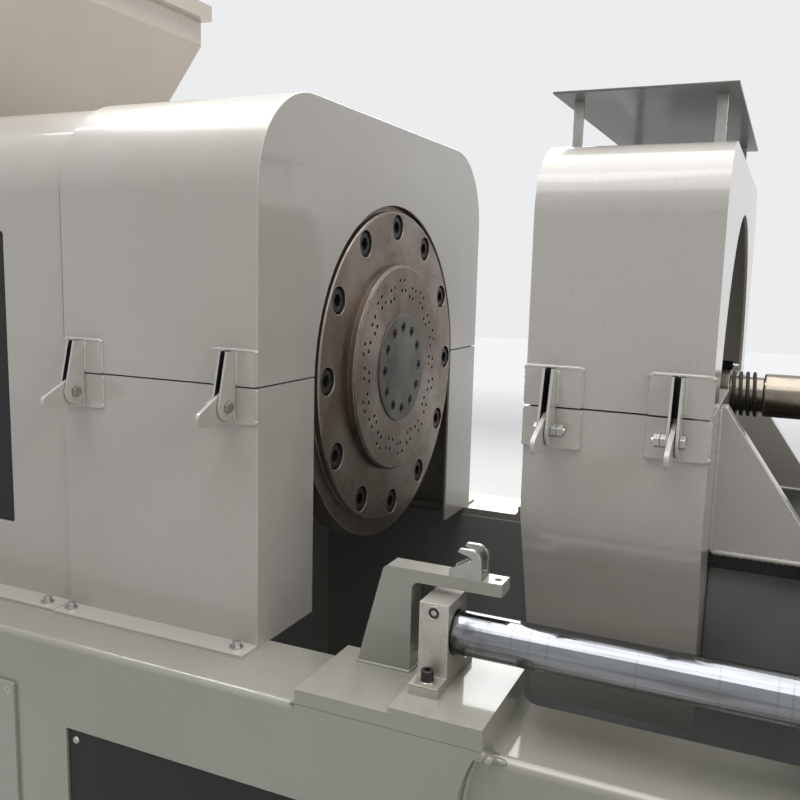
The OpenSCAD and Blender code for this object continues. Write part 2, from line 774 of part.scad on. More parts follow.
// Rod pads, supports and rods
module rod_pads() color("gainsboro") place() both_sides() {
    difference() {
        along_y(-bed_half, -inner_half) {
            translate([pad_x0, 0]) square([pad_x1 - pad_x0, pad_t]);
            translate([shim_x0, 0]) square([pad_x1 - shim_x0, shim_top]);
            translate([pad_x0 - pad_foot_r, 0]) difference() {
                square([pad_foot_r + 1, pad_foot_r]);
                translate([0, pad_foot_r]) circle(pad_foot_r);
            }
        }
        deck_notch_cut();
    }
    block(end_block_x0 - end_pad_out, end_block_x0 + block_l + end_pad_out,
        -rail_half + rail_edge_r, -inner_half, rail_top, shim_top);
}
module rod_support(x0) difference() {
    union() {
        block(x0, x0 + block_l, -rod_y - block_half, -rod_y + block_half, shim_top, block_top);
        block(x0, x0 + block_l, -rod_y - block_foot_half, -rod_y + block_foot_half,
            shim_top, shim_top + block_foot_t);
    }
    rod(x0 - 1, x0 + block_l + 1, -rod_y, rod_z, rod_r + pin_fit);
    translate([x0 + block_l - 2, -rod_y, rod_z]) rotate([0, 90, 0])
        cylinder(h = 2.01, r1 = rod_r + pin_fit, r2 = rod_r + pin_fit + 2);
}
module rod_supports() {
    rod_support(block_x0);
    rod_support(end_block_x0);
}
module rod_supports_near() color("lightgray") place() rod_supports();
module rod_supports_far() color("lightgray") place() far_side() rod_supports();
module guide_rod_near() color("whitesmoke") place() rod(rod_x0, rod_x1, -rod_y, rod_z, rod_r);
module guide_rod_far() color("whitesmoke") place() rod(rod_x0, rod_x1, rod_y, rod_z, rod_r);

// Gooseneck bracket whose arm reaches over the rod support
module gooseneck_outline() {
    arm_low = arm_z - arm_t;
    polygon([
        [neck_x0, pad_t], [neck_x1, pad_t], [neck_x1, arm_low], [arm_x1, arm_low], [arm_x1, arm_z],
        [neck_top_x + 6, arm_z], [neck_top_x + 1, arm_z - 4],
    ]);
    translate([neck_x1, arm_low - arm_fillet]) difference() {
        translate([-1, 0]) square([arm_fillet + 1, arm_fillet + 1]);
        translate([arm_fillet, 0]) circle(arm_fillet);
    }
}
module gooseneck() difference() {
    along_y(-neck_y, -neck_y + neck_t) gooseneck_outline();
    translate([arm_x1 - arm_hole_in, -neck_y + neck_t / 2, arm_z - arm_t - 1])
        cylinder(h = arm_t + 2, r = arm_hole_r);
}
module gooseneck_near() color("gainsboro") place() gooseneck();
module gooseneck_far() color("gainsboro") place() far_side() gooseneck();

// Keeper: a base plate with two claws, each a sloping lip with a round hook over it, open towards the die
module claw_outline() translate([keeper_x0, arm_z]) {
    throat_x = keeper_l - throat_in;
    difference() {
        union() {
            polygon([
                [0, 0], [keeper_l, 0], [keeper_l, keeper_h - hook_r], [keeper_l - hook_r, keeper_h],
                [hook_tip_in + 2, keeper_h], [hook_tip_in, keeper_h - hook_tip_t],
                [throat_x, throat_z + throat_r], [throat_x, lip_low + lip_rise * throat_x], [0, lip_low],
            ]);
            translate([keeper_l - hook_r, keeper_h - hook_r]) intersection() {
                circle(hook_r);
                square(hook_r);
            }
        }
        translate([throat_x, throat_z]) circle(throat_r);
    }
}
module keeper() {
    block(keeper_x0, keeper_x0 + keeper_l, -neck_y, -neck_y + neck_t, arm_z, arm_z + keeper_plate_t);
    for (y = [-neck_y, -neck_y + neck_t - claw_t]) along_y(y, y + claw_t) claw_outline();
}
module keeper_near() color("silver") place() keeper();
module keeper_far() color("silver") place() far_side() keeper();

// Hood: upper half hinged, lower half narrowing into a chute
module lower_section(inset, top) polygon([
    [-hood_half + inset, top], [-hood_half + inset, fold_z], [-skirt_half + inset, -skirt_drop],
    [skirt_half - inset, -skirt_drop], [hood_half - inset, fold_z], [hood_half - inset, top],
]);
module hood_lower() color("gainsboro") place() {
    difference() {
        along_x(hood_x, hood_x1) lower_section(0, lower_z);
        along_x(hood_x + sheet_t, hood_x1 + 1) lower_section(sheet_t, lower_z + 1);
        along_x(hood_x - 1, hood_x + 2 * sheet_t) lower_section(hood_lip, lower_z + 1);
        block(hood_x + sheet_t, hood_x1 + 1, -skirt_half + sheet_t, skirt_half - sheet_t, -skirt_drop - 1, 0);
    }
    hinge_leaves(hood_half, hood_hinge_xs);
}
module hood_back_plate() color("gainsboro") place() difference() {
    along_x(back_x0, hood_x1) lower_section(sheet_t, lower_z);
    along_x(back_x0 - 1, hood_x1 + 1) round_doorway_up(collar_r + 6, lower_z + 1);
}

// A notch open at the top, round at its foot on the die's axis
module round_doorway_up(r, high) {
    translate([0, die_z]) circle(r);
    translate([-r, die_z]) square([2 * r, high - die_z]);
}
module hood_cover() color("gainsboro") place() {
    difference() {
        along_x(hood_x, hood_x1) arch(hood_half, hood_h, hood_r, upper_z);
        along_x(hood_x + sheet_t, hood_x1 - sheet_t)
            arch(hood_half - sheet_t, hood_h - sheet_t, hood_r - sheet_t, upper_z - 1);
        along_x(hood_x - 1, hood_x + 2 * sheet_t)
            arch(hood_half - hood_lip, hood_h - hood_lip, hood_r - hood_lip, upper_z - 1);
        along_x(hood_x1 - 2 * sheet_t, hood_x1 + 1) round_doorway(hood_hole_r, upper_z - 30);
    }
    hinge_ears(hood_half, hood_hinge_xs);
}
module hood_hinge_pins() color("silver") place() {
    hinge_pin(hood_half, hood_hinge_xs[0], -1);
    hinge_pin(hood_half, hood_hinge_xs[1], 1);
}

// Flat sheet on four thin posts over the hood
module sheet_posts() color("silver") place() both_sides()
    for (x = [sheet_x0 + 14, sheet_x0 + sheet_l - 14 - post_w])
        block(x, x + post_w, -sheet_half + 50, -sheet_half + 50 + post_t, hood_h, hood_h + post_h);
module top_sheet() color("darkgray") place()
    block(sheet_x0, sheet_x0 + sheet_l, -sheet_half, sheet_half, hood_h + post_h, hood_h + post_h + 3);

// Carriage
module carriage_plate() color("gray") place() {
    block(hood_x1, wide_x0, -gusset_y, gusset_y, plate_low, carriage_z);
    block(wide_x0, carriage_x1, -wide_half, wide_half, plate_low, carriage_z);
}
module carriage_box() color("dimgray") place()
    block(hood_x1, carriage_x1, -box_half, box_half, box_low, plate_low);
module carriage_gussets() color("gainsboro") place() both_sides()
    along_y(-gusset_y, -gusset_y + gusset_t)
        polygon([
            [hood_x1, carriage_z], [hood_x1 + gusset_l, carriage_z], [hood_x1 + gusset_l, carriage_z + 8],
            [hood_x1 + 8, lower_z - 1], [hood_x1, lower_z - 1],
        ]);
module linear_bearings() color("silver") place() both_sides()
    for (x = bearing_xs)
        difference() {
            block(x, x + bearing_l, -rod_y - bearing_half, -rod_y + bearing_half, bearing_low, plate_low);
            rod(x - 1, x + bearing_l + 1, -rod_y, rod_z, rod_r + bearing_gap);
        }
module bearing_housing() color("gainsboro") place() difference() {
    union() {
        disc(housing_x0, housing_x0 + housing_l, housing_r);
        block(housing_x0, housing_x0 + housing_l, -housing_r, housing_r, carriage_z, die_z);
        block(housing_x0, housing_x0 + housing_l, -housing_r - housing_foot_out, housing_r + housing_foot_out,
            carriage_z, carriage_z + housing_foot_t);
    }
    disc(housing_x0 - 1, housing_x0 + housing_l + 1, shaft_r + bearing_gap);
}
module cutter_motor() color("steelblue") place() {
    box_half_w = 50;
    cap_x = cutter_x0 + cutter_l - cutter_cap_l;
    disc(cutter_x0, cutter_x0 + cutter_flange_t, cutter_r);
    translate([0, 0, die_z]) along_x(cutter_x0 + cutter_flange_t, cap_x)
        motor_fins(cutter_r - 16, cutter_r - 2, 28, 4);
    disc(cap_x, cutter_x0 + cutter_l, cutter_r - 1);
    block(cutter_x0 + box_half_w, cutter_x0 + 3 * box_half_w, -box_half_w, box_half_w, die_z + cutter_r - 24,
        die_z + cutter_r + box_half_w);
    block(cutter_x0, carriage_x1, -cutter_r + 10, cutter_r - 10, carriage_z, die_z - cutter_r / 2 - 8);
}

// Rotor: stepped shaft, spring on its neck, knife head and knives
module knife_shaft() color("silver") place() {
    disc(knife_x0 + 4, collar_x0, neck_r);
    disc(collar_x0, collar_x1, collar_r);
    disc(collar_x1, spring_x1, neck_r);
    cone(spring_x1, spring_x1 + 2, shaft_r - 2, shaft_r);
    disc(spring_x1 + 2, coupling_x0, shaft_r);
    disc(coupling_x0, coupling_x0 + coupling_l, coupling_r);
    disc(coupling_x0 + coupling_l, shaft_x1, shaft_r);
}

// A helix swept as one closed tube, with a flat ring at each end
spring_r = neck_r + seat_gap + wire_r + 2.3;
spring_sides = 10;
spring_steps = 28;
spring_l = spring_x1 - collar_x1 - 2 * wire_r - 2 * seat_gap;
spring_rings = spring_turns * spring_steps;
function spring_point(i, j) =
    let (a = i * 360 / spring_steps, b = j * 360 / spring_sides, r = spring_r + wire_r * cos(b))
        [
            collar_x1 + seat_gap + wire_r + spring_l * i / spring_rings + wire_r * sin(b),
            r * sin(a),
            die_z + r * cos(a),
        ];
module shaft_spring() color("dimgray") place() polyhedron(
    points = [for (i = [0 : spring_rings], j = [0 : spring_sides - 1]) spring_point(i, j)],
    faces = concat(
        [[for (j = [0 : spring_sides - 1]) j]],
        [[for (j = [spring_sides - 1 : -1 : 0]) spring_rings * spring_sides + j]],
        [for (i = [0 : spring_rings - 1], j = [0 : spring_sides - 1])
            let (n = (j + 1) % spring_sides, a = i * spring_sides, b = (i + 1) * spring_sides)
                [a + j, b + j, b + n, a + n]]
    ));
module knife_head() color("silver") place() difference() {
    union() {
        disc(head_x0, head_x0 + 16, head_r);
        disc(head_x0, collar_x0, hub_r);
    }
    disc(head_x0 - 1, collar_x0 + 1, neck_r + pin_fit);
}
module knives() color("lightgray") place()
    for (i = [0 : knife_count - 1])
        translate([0, 0, die_z]) rotate([i * 360 / knife_count, 0, 0])
            along_x(knife_x0, head_x0)
                translate([-knife_t, knife_r - knife_w]) square([2 * knife_t, knife_w]);

side_beam_near();
side_beam_far();
rail_frame_near();
rail_frame_far();
bed_cross_members();
deck_plate();
bed_liners();
bed_dark_panels();
bed_cover_plates();
levelling_feet();
barrel_cover();
barrel_cover_panels();
hopper();
gearbox();
drive_motor();
motor_pedestal();
die_adapter();
die_rings();
strand_plate();
centre_cap();
guard_lower();
guard_hinge_pins();
guard_cover();
rod_pads();
rod_supports_near();
rod_supports_far();
guide_rod_near();
guide_rod_far();
gooseneck_near();
gooseneck_far();
keeper_near();
keeper_far();
hood_lower();
hood_back_plate();
hood_hinge_pins();
carriage_gussets();
carriage_plate();
carriage_box();
linear_bearings();
bearing_housing();
cutter_motor();
hood_cover();
sheet_posts();
top_sheet();
knife_shaft();
shaft_spring();
knife_head();
knives();
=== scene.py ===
"""Dresses the die end of a plastic extruder and its sliding face cutter.

Sizes are in millimetres from the die guard's datum: X = 0 on the guard's front face, Y = 0 on the
screw axis, Z = 0 on the deck. Near is the -Y side. Every finished mesh is moved to the row frame.
"""

import json
import logging
import math
import random
from dataclasses import dataclass, field
from enum import Enum
from typing import Callable, Iterable, Optional, Sequence

import bmesh
import bpy
from mathutils import Matrix, Vector

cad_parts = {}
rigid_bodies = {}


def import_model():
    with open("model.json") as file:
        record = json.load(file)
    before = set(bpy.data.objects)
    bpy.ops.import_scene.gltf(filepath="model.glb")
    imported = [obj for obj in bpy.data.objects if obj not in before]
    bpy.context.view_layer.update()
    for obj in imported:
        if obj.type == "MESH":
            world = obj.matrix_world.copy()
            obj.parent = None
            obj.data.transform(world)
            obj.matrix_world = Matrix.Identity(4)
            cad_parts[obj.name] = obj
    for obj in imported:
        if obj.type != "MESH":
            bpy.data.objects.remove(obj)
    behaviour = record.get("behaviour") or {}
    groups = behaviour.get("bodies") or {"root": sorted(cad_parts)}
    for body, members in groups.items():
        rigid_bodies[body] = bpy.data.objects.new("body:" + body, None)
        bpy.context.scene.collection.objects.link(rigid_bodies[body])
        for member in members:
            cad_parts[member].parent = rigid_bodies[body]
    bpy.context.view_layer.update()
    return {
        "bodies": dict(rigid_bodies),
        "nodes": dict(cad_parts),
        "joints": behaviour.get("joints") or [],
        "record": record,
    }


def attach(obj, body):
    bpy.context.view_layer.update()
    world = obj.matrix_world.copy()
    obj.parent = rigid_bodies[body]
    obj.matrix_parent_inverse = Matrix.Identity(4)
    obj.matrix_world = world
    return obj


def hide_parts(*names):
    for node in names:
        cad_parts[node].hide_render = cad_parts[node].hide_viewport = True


LOG = logging.getLogger("extruder")
MM = 0.001
DATUM = Vector((0.325, 0.0, 0.670))
TO_ROW = Matrix.Translation(DATUM) @ Matrix.Scale(MM, 4)
AXIS_Z = 330.0
GUARD_HINGES = (-280.0, -33.5)
HOOD_HINGES = (355.5, 493.0)
HINGE_SLOT = 3.35
HINGE_SHIFT = 2.0
SHEET = 4.0
# heights of the painted-shadow strips behind the parting gaps
SHADOW_STRIP_Z = (329.0, 346.0)
NODE_ANGLE = 46.0
STUDIO_WHITE = (0.93, 0.94, 0.95, 1)


class Body(Enum):
    """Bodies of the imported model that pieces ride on."""

    MACHINE = "machine"
    GUARD = "guard_lid"
    CARRIAGE = "carriage"
    HOOD = "hood_lid"
    ROTOR = "rotor"


class Slot(Enum):
    """Material slots of the record."""

    MACHINE_PAINT = "machine_paint"
    BED_PAINT = "bed_paint"
    DARK_PAINT = "dark_paint"
    HOPPER_PAINT = "hopper_paint"
    DRIVE_PAINT = "drive_paint"
    DIE_STEEL = "die_steel"
    DARK_STEEL = "dark_steel"
    ROD_CHROME = "rod_chrome"
    BRIGHT_STEEL = "bright_steel"
    ALUMINIUM = "milled_aluminium"
    ZINC = "zinc"
    SHEET_GREY = "sheet_grey"
    KNIFE_STEEL = "knife_steel"


class Shade(Enum):
    """Finishes that no slot of the record names, for parts of a piece."""

    # painted shade for the inner faces
    SHADED_INTERIOR_GREY = "inner_grey_enamel"
    # painted shadow inside the hinge slots
    SLOT_SHADOW = "slot_black_primer"
    # black rubber, also the painted shadow behind the parting gaps
    RUBBER_AND_GAP_SHADOW = "seal_rubber"
    CAP_STEEL = "oiled_cap_steel"


class Grain(Enum):
    """How a metal surface was machined."""

    TURNED = "turned"
    BRUSHED = "brushed"
    CAST = "cast"


# Shader graphs


class Graph:
    """Adds nodes to a tree and links them by socket name."""

    def __init__(self, tree: bpy.types.NodeTree) -> None:
        """Keeps the tree.

        Args:
            tree: node tree that receives the nodes.
        """
        self.tree = tree

    def add(self, kind: str, settings: Optional[dict] = None, **sockets: object) -> bpy.types.Node:
        """Adds one node.

        Args:
            kind: node type without its ShaderNode prefix.
            settings: node properties.
            **sockets: values or output sockets by input name, spaces written as underscores.

        Returns:
            The new node.
        """
        node = self.tree.nodes.new("ShaderNode" + kind)
        for key, value in (settings or {}).items():
            setattr(node, key, value)
        for key, value in sockets.items():
            self.feed(node.inputs[key.replace("_", " ")], value)
        return node

    def feed(self, socket: bpy.types.NodeSocket, value: object) -> None:
        """Links an output to a socket, or writes a plain value on it.

        Args:
            socket: input to fill.
            value: output socket or plain value.
        """
        if isinstance(value, bpy.types.NodeSocket):
            self.tree.links.new(value, socket)
        else:
            socket.default_value = value

    def math(self, operation: str, *values: object) -> bpy.types.NodeSocket:
        """Returns the result of a Math node on up to three values.

        Args:
            operation: operation of the Math node.
            *values: sockets or plain values.

        Returns:
            The result's socket.
        """
        node = self.add("Math", {"operation": operation})
        for socket, value in zip(node.inputs, values):
            self.feed(socket, value)
        return node.outputs[0]

    def mix(self, factor: object, first: object, second: object) -> bpy.types.NodeSocket:
        """Returns the colour that lies between two colours.

        Args:
            factor: share of the second colour.
            first: first colour.
            second: second colour.

        Returns:
            The colour's socket.
        """
        node = self.add("Mix", {"data_type": "RGBA"})
        for index, value in ((0, factor), (6, first), (7, second)):
            self.feed(node.inputs[index], value)
        return node.outputs[2]

    def span(
        self, value: object, low: float, high: float, to_low: float, to_high: float
    ) -> bpy.types.NodeSocket:
        """Returns a value mapped from one range to another and clamped.

        Args:
            value: value to map.
            low: lower end of its range.
            high: upper end of its range.
            to_low: result at the lower end.
            to_high: result at the upper end.

        Returns:
            The mapped value's socket.
        """
        node = self.add("MapRange", {"clamp": True})
        for socket, item in zip(node.inputs, (value, low, high, to_low, to_high)):
            self.feed(socket, item)
        return node.outputs[0]

    def noise(self, vector: object, scale: object, detail: float = 3.0) -> bpy.types.NodeSocket:
        """Returns the value of a noise texture."""
        return self.add("TexNoise", Vector=vector, Scale=scale, Detail=detail, Roughness=0.55).outputs[0]


def new_group(name: str, inputs: Sequence[tuple[str, str, object]], outputs: Sequence[str]) -> tuple:
    """Starts a shader node group with named sockets.

    Args:
        name: name of the group.
        inputs: name, socket type and default of each input.
        outputs: names of the value outputs.

    Returns:
        The tree, its Graph, its input node and its output node.
    """
    tree = bpy.data.node_groups.new(name, "ShaderNodeTree")
    for label, kind, default in inputs:
        socket = tree.interface.new_socket(label, in_out="INPUT", socket_type="NodeSocket" + kind)
        if default is not None:
            socket.default_value = default
    for label in outputs:
        tree.interface.new_socket(label, in_out="OUTPUT", socket_type="NodeSocketFloat")
    graph = Graph(tree)
    return tree, graph, tree.nodes.new("NodeGroupInput"), tree.nodes.new("NodeGroupOutput")


class SharedEffects:
    """Shader groups that several finishes place with their own values."""

    def __init__(self) -> None:
        """Builds each group once."""
        self.peel = self._paint_skin()
        self.rub = self._edge_highlight()
        self.dust = self._settled_dust()
        self.marks = self._tool_marks()
        self.stain = self._stain()

    def _paint_skin(self) -> bpy.types.NodeTree:
        """Orange peel, slow waves and faint patches of sprayed enamel.

        Returns:
            The group.
        """
        tree, g, head, tail = new_group(
            "paint_skin",
            [("Vector", "Vector", None), ("Peel Scale", "Float", 330.0), ("Wave Scale", "Float", 7.0)],
            ["Peel", "Wave", "Patches"],
        )
        fine = g.noise(head.outputs[0], head.outputs[1], 2.0)
        slow = g.noise(head.outputs[0], head.outputs[2], 2.0)
        patch = g.noise(head.outputs[0], 2.3, 4.0)
        for socket, value in zip(tail.inputs, (fine, slow, g.span(patch, 0.35, 0.68, 0.0, 1.0))):
            g.feed(socket, value)
        return tree

    def _edge_highlight(self) -> bpy.types.NodeTree:
        """Mask of the narrow band along sharp edges, where a highlight is painted.

        Returns:
            The group.
        """
        tree, g, head, tail = new_group(
            "edge_highlight", [("Vector", "Vector", None), ("Radius", "Float", 0.0015)], ["Mask"]
        )
        wide = g.add("Bevel", {"samples": 2}, Radius=head.outputs[1])
        plain = g.add("NewGeometry")
        dot = g.add("VectorMath", {"operation": "DOT_PRODUCT"})
        g.feed(dot.inputs[0], wide.outputs[0])
        g.feed(dot.inputs[1], plain.outputs["Normal"])
        edge = g.span(dot.outputs["Value"], 0.985, 0.86, 0.0, 1.0)
        broken = g.span(g.noise(head.outputs[0], 120.0, 4.0), 0.36, 0.6, 0.35, 1.0)
        g.feed(tail.inputs[0], g.math("MULTIPLY", edge, broken))
        return tree

    def _settled_dust(self) -> bpy.types.NodeTree:
        """Mask of dust on faces that look up.

        Returns:
            The group.
        """
        tree, g, head, tail = new_group("settled_dust", [("Vector", "Vector", None)], ["Mask"])
        normal = g.add("NewGeometry").outputs["Normal"]
        up = g.add("SeparateXYZ", Vector=normal).outputs[2]
        level = g.span(up, 0.55, 0.98, 0.0, 1.0)
        cloud = g.span(g.noise(head.outputs[0], 9.0, 6.0), 0.38, 0.7, 0.15, 1.0)
        g.feed(tail.inputs[0], g.math("MULTIPLY", level, cloud))
        return tree

    def _tool_marks(self) -> bpy.types.NodeTree:
        """Heights of turned rings about the screw axis and of straight brush lines.

        Returns:
            The group.
        """
        tree, g, head, tail = new_group(
            "tool_marks", [("Vector", "Vector", None), ("Scale", "Float", 900.0)], ["Turned", "Brushed"]
        )
        split = g.add("SeparateXYZ", Vector=head.outputs[0])
        high = g.math("SUBTRACT", split.outputs[2], 1.0)
        squares = g.math("ADD", g.math("POWER", split.outputs[1], 2.0), g.math("POWER", high, 2.0))
        radius = g.math("SQRT", squares)
        rings = g.add("CombineXYZ", X=radius, Y=g.math("MULTIPLY", split.outputs[0], 0.4))
        g.feed(tail.inputs[0], g.noise(rings.outputs[0], head.outputs[1], 2.0))
        along = g.math("MULTIPLY", split.outputs[0], 0.06)
        lines = g.add("CombineXYZ", X=along, Y=split.outputs[1], Z=split.outputs[2])
        g.feed(tail.inputs[1], g.noise(lines.outputs[0], head.outputs[1], 3.0))
        return tree

    def _stain(self) -> bpy.types.NodeTree:
        """Masks of broad heat stains and of small spots.

        Returns:
            The group.
        """
        tree, g, head, tail = new_group(
            "stain", [("Vector", "Vector", None), ("Scale", "Float", 14.0)], ["Broad", "Spots"]
        )
        broad = g.noise(head.outputs[0], head.outputs[1], 7.0)
        spots = g.noise(head.outputs[0], g.math("MULTIPLY", head.outputs[1], 9.0), 5.0)
        g.feed(tail.inputs[0], g.span(broad, 0.38, 0.66, 0.0, 1.0))
        g.feed(tail.inputs[1], g.span(spots, 0.56, 0.72, 0.0, 1.0))
        return tree


@dataclass(frozen=True)
class Enamel:
    """Sprayed machine enamel.

    Attributes are linear colours, heights in metres and shares from 0 to 1.
    """

    name: str
    colour: tuple[float, float, float]
    # colour of the painted highlight along sharp edges
    highlight_colour: tuple[float, float, float]
    roughness: float = 0.26
    coat: float = 0.7
    mirror: float = 0.5
    peel: float = 0.00013
    wave: float = 0.0016
    dust: float = 0.12
    rub: float = 0.35
    flecks: float = 0.1

    def make(self, shared: SharedEffects) -> bpy.types.Material:
        """Builds the material.

        Args:
            shared: groups that hold the common effects.

        Returns:
            The finished material.
        """
        material, g, shader, place = start_material(self.name)
        skin = g.add("Group", {"node_tree": shared.peel}, Vector=place)
        rub = g.add("Group", {"node_tree": shared.rub}, Vector=place)
        dust = g.add("Group", {"node_tree": shared.dust}, Vector=place)
        flecks = g.add("Group", {"node_tree": shared.stain}, Vector=place, Scale=26.0)
        deep = tuple(k * c for k, c in zip((0.88, 0.865, 0.83), self.colour))
        base = g.mix(skin.outputs["Patches"], (*self.colour, 1), (*deep, 1))
        base = g.mix(g.math("MULTIPLY", flecks.outputs[1], self.flecks), base, (0.10, 0.085, 0.07, 1))
        # painted highlight: a lighter colour along sharp edges, broken up by noise
        base = g.mix(g.math("MULTIPLY", rub.outputs[0], self.rub), base, (*self.highlight_colour, 1))
        base = g.mix(g.math("MULTIPLY", dust.outputs[0], self.dust), base, (0.36, 0.34, 0.30, 1))
        g.feed(shader.inputs["Base Color"], base)
        gloss = g.span(skin.outputs["Patches"], 0.0, 1.0, self.roughness, self.roughness + 0.07)
        gloss = g.math("ADD", gloss, g.math("MULTIPLY", dust.outputs[0], 0.22 * self.dust / 0.12))
        g.feed(shader.inputs["Roughness"], gloss)
        shader.inputs["Coat Weight"].default_value = self.coat
        shader.inputs["Coat Roughness"].default_value = 0.08
        shader.inputs["Specular IOR Level"].default_value = self.mirror
        slow = g.add("Bump", Strength=1.0, Distance=self.wave, Height=skin.outputs["Wave"])
        peel = skin.outputs["Peel"]
        fine = g.add("Bump", Strength=1.0, Distance=self.peel, Height=peel, Normal=slow.outputs[0])
        g.feed(shader.inputs["Normal"], fine.outputs[0])
        return material


@dataclass(frozen=True)
class BareMetal:
    """Unpainted metal with tool marks, stains and painted highlights along its edges."""

    name: str
    colour: tuple[float, float, float]
    stained: tuple[float, float, float]
    # colour of the painted highlight along sharp edges; shine is its share
    edge: tuple[float, float, float]
    roughness: float = 0.35
    metallic: float = 1.0
    grain: Grain = Grain.BRUSHED
    grain_scale: float = 900.0
    grain_depth: float = 0.00004
    stains: float = 0.5
    spots: float = 0.2
    stain_scale: float = 14.0
    shine: float = 0.8
    edge_width: float = 0.0015

    def make(self, shared: SharedEffects) -> bpy.types.Material:
        """Builds the material.

        Args:
            shared: groups that hold the common effects.

        Returns:
            The finished material.
        """
        material, g, shader, place = start_material(self.name)
        stain = g.add("Group", {"node_tree": shared.stain}, Vector=place, Scale=self.stain_scale)
        rub = g.add("Group", {"node_tree": shared.rub}, Vector=place, Radius=self.edge_width)
        base = g.mix(g.math("MULTIPLY", stain.outputs[0], self.stains), (*self.colour, 1), (*self.stained, 1))
        base = g.mix(g.math("MULTIPLY", stain.outputs[1], self.spots), base, (0.035, 0.026, 0.02, 1))
        # painted highlight: the bright edge colour along sharp edges
        base = g.mix(g.math("MULTIPLY", rub.outputs[0], self.shine), base, (*self.edge, 1))
        g.feed(shader.inputs["Base Color"], base)
        shader.inputs["Metallic"].default_value = self.metallic
        rough = g.span(stain.outputs[0], 0.0, 1.0, self.roughness, min(1.0, self.roughness * 1.35))
        g.feed(shader.inputs["Roughness"], rough)
        if self.grain is Grain.CAST:
            height = g.noise(place, self.grain_scale, 4.0)
        else:
            marks = g.add("Group", {"node_tree": shared.marks}, Vector=place, Scale=self.grain_scale)
            height = marks.outputs["Turned" if self.grain is Grain.TURNED else "Brushed"]
        bump = g.add("Bump", Strength=1.0, Distance=self.grain_depth, Height=height)
        g.feed(shader.inputs["Normal"], bump.outputs[0])
        return material


@dataclass(frozen=True)
class GroundChrome:
    """Ground and chromed rod, with smears along it and oil where its supports hold it."""

    name: str
    colour: tuple[float, float, float] = (0.25, 0.26, 0.28)
    smeared: tuple[float, float, float] = (0.175, 0.18, 0.185)
    oil: tuple[float, float, float] = (0.045, 0.044, 0.04)
    held_at: tuple[float, float] = (0.600, 1.505)
    roughness: float = 0.07

    def make(self, shared: SharedEffects) -> bpy.types.Material:
        """Builds the material.

        Args:
            shared: groups that hold the common effects.

        Returns:
            The finished material.
        """
        material, g, shader, place = start_material(self.name)
        split = g.add("SeparateXYZ", Vector=place)
        along = split.outputs[0]
        drawn = g.add("CombineXYZ", X=g.math("MULTIPLY", along, 0.1), Y=split.outputs[1], Z=split.outputs[2])
        smear = g.span(g.noise(drawn.outputs[0], 70.0, 4.0), 0.4, 0.66, 0.0, 1.0)
        ticks = g.add("CombineXYZ", X=along, Y=0.0, Z=0.0)
        lines = g.span(g.noise(ticks.outputs[0], 150.0, 0.0), 0.67, 0.71, 0.0, 0.35)
        gaps = [g.math("ABSOLUTE", g.math("SUBTRACT", along, x)) for x in self.held_at]
        near = g.span(g.math("MINIMUM", *gaps), 0.004, 0.05, 1.0, 0.0)
        film = g.math("MULTIPLY", near, g.span(g.noise(place, 60.0, 4.0), 0.4, 0.58, 0.0, 1.0))
        ring = g.span(g.math("MINIMUM", *gaps), 0.001, 0.004, 1.0, 0.0)
        base = g.mix(smear, (*self.colour, 1), (*self.smeared, 1))
        base = g.mix(lines, base, (0.16, 0.15, 0.14, 1))
        base = g.mix(g.math("MAXIMUM", film, ring), base, (*self.oil, 1))
        g.feed(shader.inputs["Base Color"], base)
        shader.inputs["Metallic"].default_value = 1.0
        rough = g.span(smear, 0.0, 1.0, self.roughness, self.roughness + 0.06)
        rough = g.math("ADD", rough, g.math("MULTIPLY", film, 0.2))
        g.feed(shader.inputs["Roughness"], rough)
        marks = g.add("Group", {"node_tree": shared.marks}, Vector=place, Scale=900.0)
        bump = g.add("Bump", Strength=1.0, Distance=0.000004, Height=marks.outputs["Brushed"])
        g.feed(shader.inputs["Normal"], bump.outputs[0])
        return material


def seen_mask(graph: Graph) -> bpy.types.NodeSocket:
    """Returns 1 for rays of the camera, through glass or off a mirror, and 0 for soft light.

    Args:
        graph: graph that receives the nodes.

    Returns:
        The mask's socket.
    """
    path = graph.add("LightPath")
    seen = graph.math("MAXIMUM", path.outputs["Is Camera Ray"], path.outputs["Is Transmission Ray"])
    return graph.math("MAXIMUM", seen, path.outputs["Is Glossy Ray"])


def start_material(name: str) -> tuple:
    """Starts a node material.

    Args:
        name: name of the finish.

    Returns:
        The material, its Graph, its Principled shader and the object coordinates.
    """
    material = bpy.data.materials.new(name)
    material.use_nodes = True
    graph = Graph(material.node_tree)
    shader = material.node_tree.nodes["Principled BSDF"]
    place = graph.add("TexCoord").outputs["Object"]
    return material, graph, shader, place


